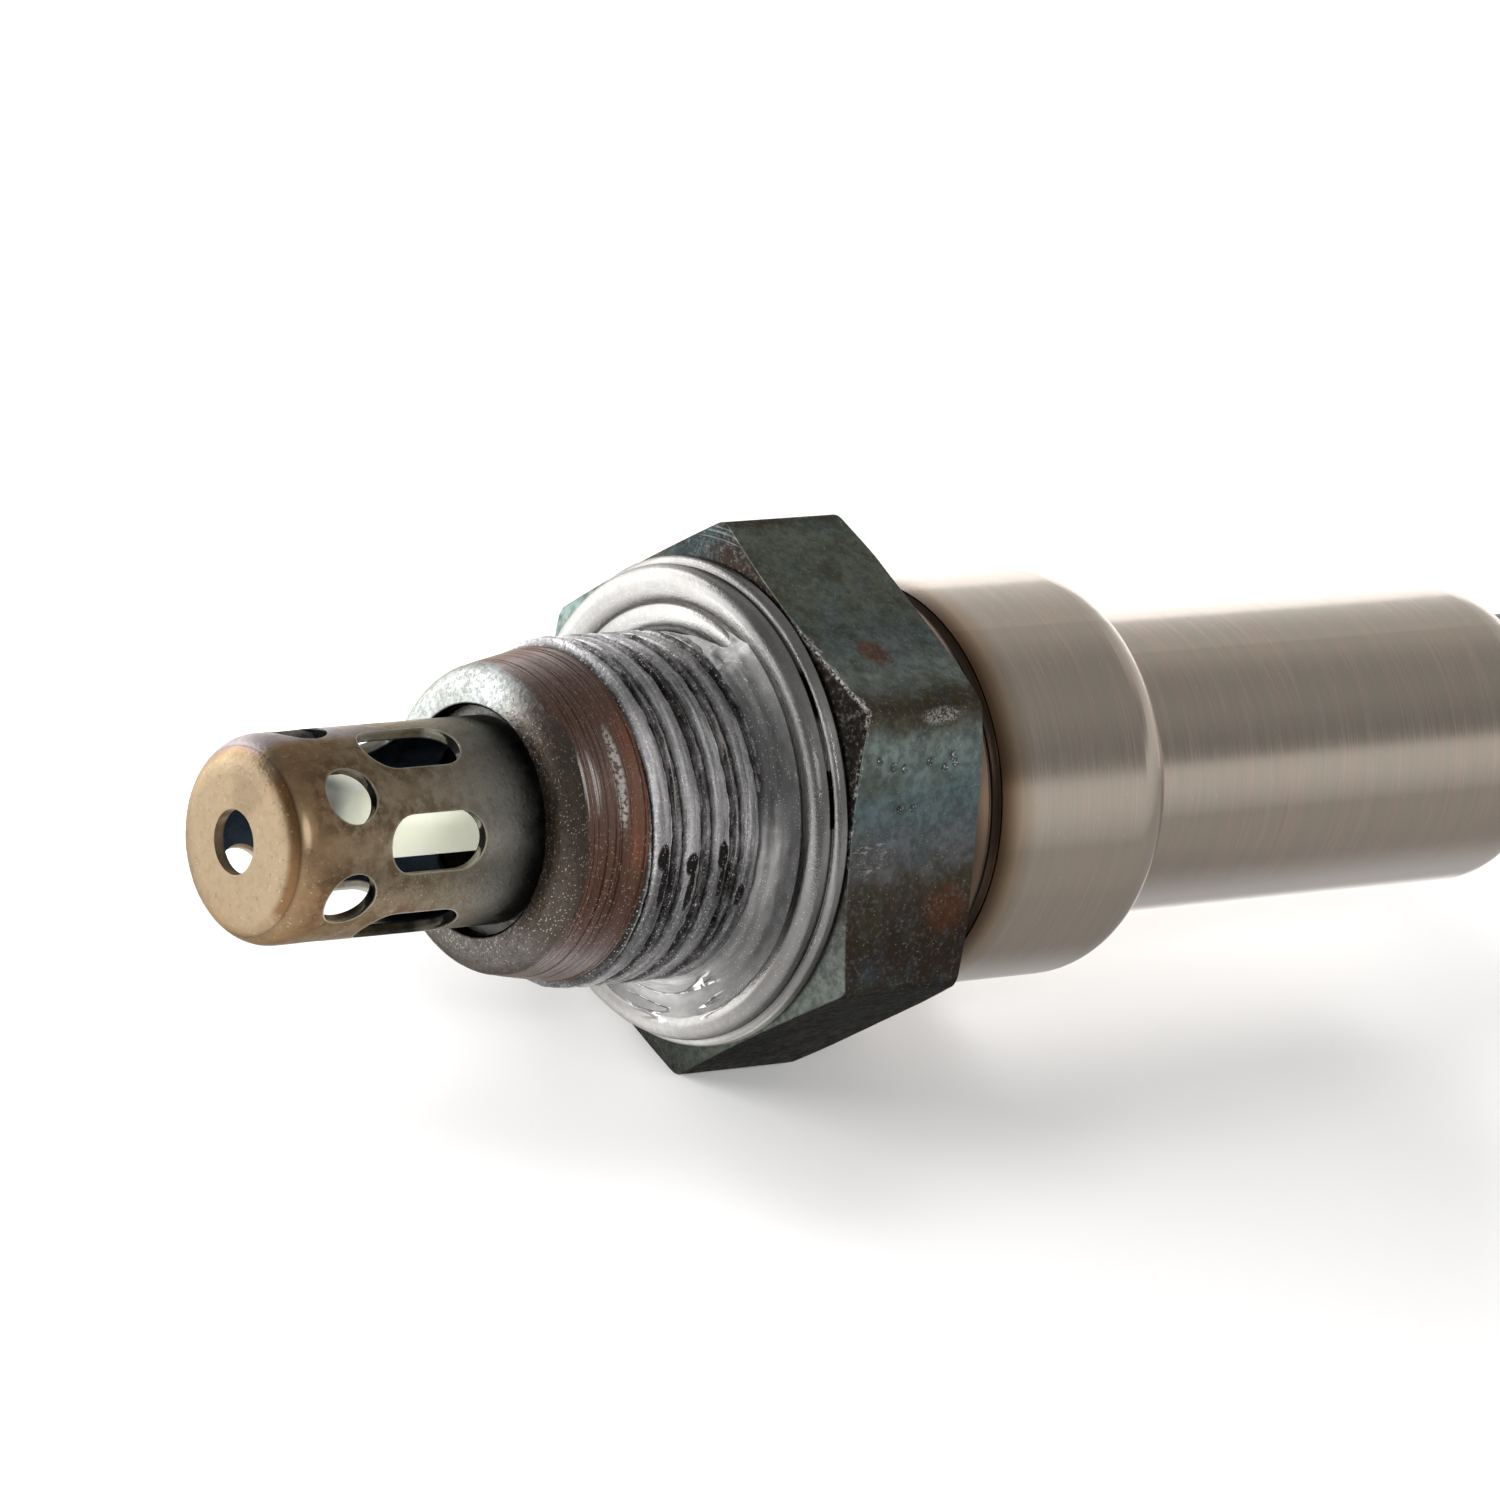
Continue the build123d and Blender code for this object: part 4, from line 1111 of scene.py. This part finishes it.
# Painted light and shade: each roll's grey by angle.
inner_roll = bands(seal.angle, [
    (15, 0.28), (30, 0.37), (45, 0.4), (60, 0.48), (75, 0.46), (90, 0.42), (105, 0.3), (120, 0.33),
    (150, 0.6), (180, 0.45), (210, 0.8), (226, 1), (250, 0.9), (330, 0.4),
])
middle_roll = bands(seal.angle, [
    (15, 0.39), (45, 0.39), (60, 0.41), (75, 0.56), (88, 1), (104, 1), (112, 0.85), (122, 0.52), (135, 0.33),
    (150, 0.12), (165, 0.15), (180, 0.68), (195, 0.88), (210, 0.92), (225, 0.94), (240, 0.8), (255, 0.55),
    (330, 0.45),
])
outer_roll = bands(seal.angle, [
    (15, 0.46), (45, 0.42), (60, 0.42), (75, 0.34), (90, 0.23), (105, 0.31), (120, 0.32), (135, 0.345),
    (150, 0.32), (165, 0.21), (180, 0.21), (195, 0.27), (210, 0.46), (225, 0.67), (240, 1), (255, 0.74),
    (330, 0.5),
])
rim_roll = bands(seal.angle, [
    (15, 0.65), (30, 0.3), (45, 0.42), (60, 0.33), (75, 0.24), (90, 0.33), (105, 0.34), (120, 0.62),
    (135, 0.37), (150, 0.355), (165, 0.21), (180, 0.18), (195, 0.24), (210, 0.49), (225, 1), (240, 1),
    (255, 0.57), (330, 0.6),
])
painted_light_by_roll = blend(ramp(seal.radius, 6.84, 6.96), inner_roll, middle_roll)
painted_light_by_roll = blend(ramp(seal.radius, 7.55, 7.75), painted_light_by_roll, outer_roll)
painted_light_by_roll = blend(ramp(seal.radius, 8.12, 8.22), painted_light_by_roll, rim_roll)
metal = darken(metal, painted_light_by_roll)
dull = seal.patch(1.2, 0.5, 0.25, 3.0)
metal = cover(metal, dull, 0.14, colour(100, 97, 94))
rub_marks_and_glint = seal.patch(0.24, 0.5, 0.2, 8.0)
metal = cover(metal, rub_marks_and_glint, 0.16, colour(92, 90, 88))
# Painted highlight: a bright thin line along the low part of the rim.
painted_seal_rim_highlight = times(within(seal.radius, 8.43, 0.04, 0.04), ramp(seal.angle, 186.0, 206.0))
metal = cover(metal, painted_seal_rim_highlight, 0.7, colour(236, 232, 224))
# Painted shade: the crease by the inner roll is painted dark.
painted_crease_shade = times(within(seal.radius, 6.88, 0.015, 0.02), ramp(seal.angle, 88.0, 66.0))
metal = cover(metal, painted_crease_shade, 0.7, colour(48, 44, 42))
# Painted shade: black slits in the groove behind the rim, with no opening in the shape.
in_groove = times(within(seal.radius, 8.15, 0.05, 0.05), within(seal.station, -0.54, 0.12, 0.06))
open_fold = larger(within(seal.angle, 111.0, 5.0, 3.0), within(seal.angle, 137.0, 6.5, 0.8))
painted_slit_shade = times(in_groove, plus(times(open_fold, 0.75), 0.25))
metal = blend(painted_slit_shade, metal, colour(16, 13, 12))
flakes = seal.grain(0.06, 0.05)
metal = cover(metal, flakes, 0.35, colour(226, 226, 226))
metal, roughness, height = wet_paste(seal, metal, ramp(rub, 0.2, 0.8, 0.2, 0.34))
seal.set("Base Color", metal)
seal.set("Roughness", roughness)
grain = seal.patch(0.1, 0.5, 0.3, 2.0)
seal.bump(plus(times(grain, 0.18), plus(height, times(rub, 0.12))), 0.03)
wear(seal_roll, seal)

# %% [markdown]
# ## The sensing strip
# The strip is layered zirconia, pale green-white and a little translucent, painted greyer towards its
# tip as shade. It is given a painted glow, stronger towards the slots, that stands in for the light which
# reaches it through the openings of the tube.

# %% Fire the strip
strip = Finish("ceramic_strip", roughness=0.45, metallic=0.0)
cloudy = strip.patch(0.5, 0.5, 0.35)
strip_colour = blend(cloudy, colour(222, 226, 204), colour(240, 240, 226))
# Painted shade: the strip is greyer towards its tip.
strip.set("Base Color", blend(ramp(strip.station, -15.4, -16.3), strip_colour, colour(160, 158, 150)))
strip.set("Roughness", ramp(cloudy, 0.0, 1.0, 0.4, 0.55))
strip.set("Subsurface Weight", 1.0)
strip.set("Subsurface Radius", (1.0, 1.0, 0.8))
strip.set("Subsurface Scale", 1.2 * MM)
# Painted light: a glow that stands in for the light coming through the openings.
painted_glow = bands(strip.station, [
    (-18, 0), (-16.2, 0.03), (-15.4, 0.35, -0.02), (-14.4, 215, 215, 197), (-12, 231, 231, 212),
])
strip.set("Emission Color", painted_glow)
strip.set("Emission Strength", 0.55)
strip.bump(strip.patch(0.08, 0.5, 0.3), 0.003)
wear(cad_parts["sensing_element"], strip)

# %% [markdown]
# ## The parts inside and behind
# These are plain: two close colours in clouds and a fine grain, which turned or stamped steel has in
# rings. Alumina is white, talc powder pressed grey. The cup, the packing ring and the vent tube are
# stamped steel. The contacts and the spring are a nickel alloy that stays springy when hot, a little
# yellower. The vent's cap is a porous plastic film that lets air in and keeps water out.

# %% Finish the plain parts
def plain(name, surface, cloud, dark, pale, grain, depth, nodes):
    """Two colours in clouds, with a grain of a depth in mm, on every node that is named."""
    finish = Finish(name, *surface)
    finish.set("Base Color", blend(finish.patch(*cloud), colour(*dark), colour(*pale)))
    finish.bump(finish.patch(*grain) if len(grain) == 3 else finish.ring(*grain), depth)
    for node_name in nodes.split():
        wear(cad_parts[node_name], finish)


plain(
    "fired_alumina", (0.55, 0.0), (0.6, 0.5, 0.3), (214, 210, 202), (232, 229, 222),
    (0.1, 0.5, 0.3), 0.006, "front_holder rear_bush contact_holder rear_separator",
)
plain(
    "pressed_talc", (0.85, 0.0), (0.2, 0.5, 0.25), (186, 184, 178), (208, 206, 198),
    (0.08, 0.5, 0.3), 0.02, "front_talc rear_talc",
)
plain(
    "stamped_steel", (0.35, 1.0), (0.5, 0.5, 0.3), (150, 147, 142), (176, 173, 168),
    (8.0, 0.4), 0.004, "holder_cup packing_ring vent_pipe",
)
plain(
    "spring_alloy", (0.3, 1.0), (0.5, 0.5, 0.3), (186, 176, 156), (204, 196, 178),
    (0.15, 0.5, 0.3), 0.004, "holder_spring contact_1 contact_2 contact_3 contact_4",
)
plain(
    "porous_film", (0.8, 0.0), (0.15, 0.5, 0.2), (210, 208, 202), (230, 229, 225),
    (0.06, 0.5, 0.2), 0.02, "vent_filter",
)

# %% [markdown]
# ## The grommet
# It is heat-proof rubber, dark grey and matt, with a dusty bloom that makes it paler in patches.

# %% Mould the grommet
rubber = Finish("dark_rubber", roughness=0.6, metallic=0.0)
bloom = rubber.patch(0.7, 0.45, 0.2)
rubber.set("Base Color", blend(bloom, colour(58, 58, 60), colour(84, 84, 86)))
rubber.set("Roughness", ramp(bloom, 0.0, 1.0, 0.5, 0.75))
rubber.bump(rubber.patch(0.1, 0.5, 0.3), 0.01)
wear(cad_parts["grommet"], rubber)

# %% [markdown]
# ## Table, room and lamps
# The sensor lies on a white table. Polished metal shows the room more than its lamps, so the room is
# what draws the light and dark bands along it: pale walls near the table and a darker ceiling. Only a
# low window behind the sensor and one small lamp in front are mirrored in the metal. The other lamps
# light the table and the dull surfaces. To the camera, and in mirrors, a glowing patch of light is
# painted on the table behind the sensor, where a sun would fall, which leaves the shadows in front as
# they are. In mirrors, the table's front right is painted dark, a painted shadow of the sensor.

# %% White table
rest()
bpy.ops.mesh.primitive_plane_add(size=6.0, location=(0, 0, 0))
table = bpy.context.object
table.name = "table"
table_finish = Finish("white_table", roughness=0.9, metallic=0.0)
tree = table_finish.tree
table_finish.set("Specular IOR Level", 0.1)
table_finish.set("Emission Color", grey(1.0))
paths = node(tree, "LightPath").outputs
in_mirror = paths["Is Glossy Ray"]
seen = larger(paths["Is Camera Ray"], larger(in_mirror, paths["Is Transmission Ray"]))
toward_painted_patch = Vector((cos(radians(110)), sin(radians(110)), 0))
across_painted_patch = toward_painted_patch.cross(Vector((0, 0, 1)))
past, aside = (
    node(tree, "VectorMath", {0: table_finish.point, 1: way}, operation="DOT_PRODUCT").outputs["Value"]
    for way in (toward_painted_patch, across_painted_patch)
)
aside = maths("DIVIDE", maths("ABSOLUTE", aside), larger(past, 1.0))
# Painted light: a glowing patch on the table behind the sensor, seen by the camera and in mirrors.
painted_sun_patch = times(ramp(past, 4.0, 20.0), ramp(aside, 1.1, 0.35))
across_table = node(tree, "SeparateXYZ", {0: table_finish.point}).outputs
# Painted shadow: seen in mirrors, the table's front right is dark.
mirrored_painted_shadow = times(ramp(across_table[0], -4.0, 3.0), ramp(across_table[1], -1.0, -4.0))
white, shaded_white = (0.86, 0.855, 0.85, 1), (0.12, 0.115, 0.11, 1)
table_finish.set("Base Color", blend(times(mirrored_painted_shadow, in_mirror), white, shaded_white))
level = plus(times(painted_sun_patch, 1.7), times(in_mirror, 0.24))
table_finish.set("Emission Strength", times(seen, level))
wear(table, table_finish)

# %% The room
# The walls' grey changes with height, from the table's edge at 0 to straight up at 1.
world = bpy.data.worlds.new("room")
bpy.context.scene.world = world
world.use_nodes = True
tree = world.node_tree
direction = node(tree, "TexCoord").outputs["Generated"]
to_right, to_back, height = node(tree, "SeparateXYZ", {0: direction}).outputs
back_wall = bands(height, [
    (-0.02, 0.9), (0.17, 0.76), (0.31, 0.64), (0.45, 0.58, 0.02), (0.57, 0.53, 0.03), (0.66, 0.42, 0.02),
    (0.73, 0.32), (1, 0.36),
])
front_wall = bands(height, [
    (-0.02, 0.45), (0.12, 0.58), (0.27, 0.7), (0.43, 0.74), (0.465, 0.7), (0.5, 0.3), (0.6, 0.25),
    (0.66, 0.29), (0.75, 0.37), (1, 0.36),
])
left_wall = bands(height, [(-0.02, 0.6), (0.1, 0.42), (0.25, 0.3), (0.5, 0.27), (1, 0.36)])
room = blend(ramp(to_back, -0.22, 0.22), front_wall, back_wall)
room = blend(ramp(to_right, 0.25, -0.25), room, left_wall)
put(room, tree.nodes["Background"].inputs["Color"])

# %% Lamps
lamp_distance = 0.8


def lamp(name, azimuth, elevation, width, tall, watts, mirrored=False):
    """A rectangular lamp that faces the seat. Azimuth turns from +X towards +Y."""
    turn, rise = radians(azimuth), radians(elevation)
    direction = Vector((cos(turn) * cos(rise), sin(turn) * cos(rise), sin(rise)))
    data = bpy.data.lights.new(name, "AREA")
    data.shape = "RECTANGLE"
    data.size = width
    data.size_y = tall
    data.energy = watts
    made = bpy.data.objects.new(name, data)
    bpy.context.collection.objects.link(made)
    made.location = seat + direction * lamp_distance
    made.rotation_euler = direction.to_track_quat("Z", "Y").to_euler()
    made.visible_glossy = mirrored
    print(name, "gives", watts, "watts")


lamp("low_window", 108, 6, 0.4, 0.16, 0.9, mirrored=True)
lamp("left_lamp", 160, 9, 0.36, 0.2, 15.5)
lamp("right_lamp", 60, 20, 0.36, 0.14, 4.8)
lamp("high_left_lamp", 140, 53, 0.36, 0.2, 0.6)
lamp("ceiling_lamp", 100, 69, 0.36, 0.25, 1.2)
lamp("high_front_lamp", -80, 53, 0.36, 0.2, 0.95)
lamp("front_lamp", -100, 29, 0.36, 0.14, 1.3)
lamp("low_front_lamp", -120, 12, 0.36, 0.1, 2.8)
lamp("side_lamp", -123, 51, 0.07, 0.07, 0.3, mirrored=True)

# %% [markdown]
# ## Camera
# A long lens, looking down at a third of a right angle and rolled to the right, so that the level
# sensor crosses the view at a slant and its rear end runs out of it.

# %% Camera
camera_data = bpy.data.cameras.new("camera")
camera_data.lens = 248.57
camera_data.sensor_width = 36.0
camera_data.clip_start = 0.01
camera = bpy.data.objects.new("camera", camera_data)
bpy.context.collection.objects.link(camera)
camera_offset = Vector((-222.51, -192.81, 198.71)) * MM
view_back = Vector((-0.63108, -0.54330, 0.55367))
camera_roll = radians(27.78)
camera.matrix_world = (
    Matrix.Translation(seat + camera_offset)
    @ view_back.to_track_quat("Z", "Y").to_matrix().to_4x4()
    @ Matrix.Rotation(camera_roll, 4, "Z")
)
bpy.context.scene.camera = camera
print("the camera stands at", camera.matrix_world.translation)
bpy.context.scene.view_settings.view_transform = "Standard"
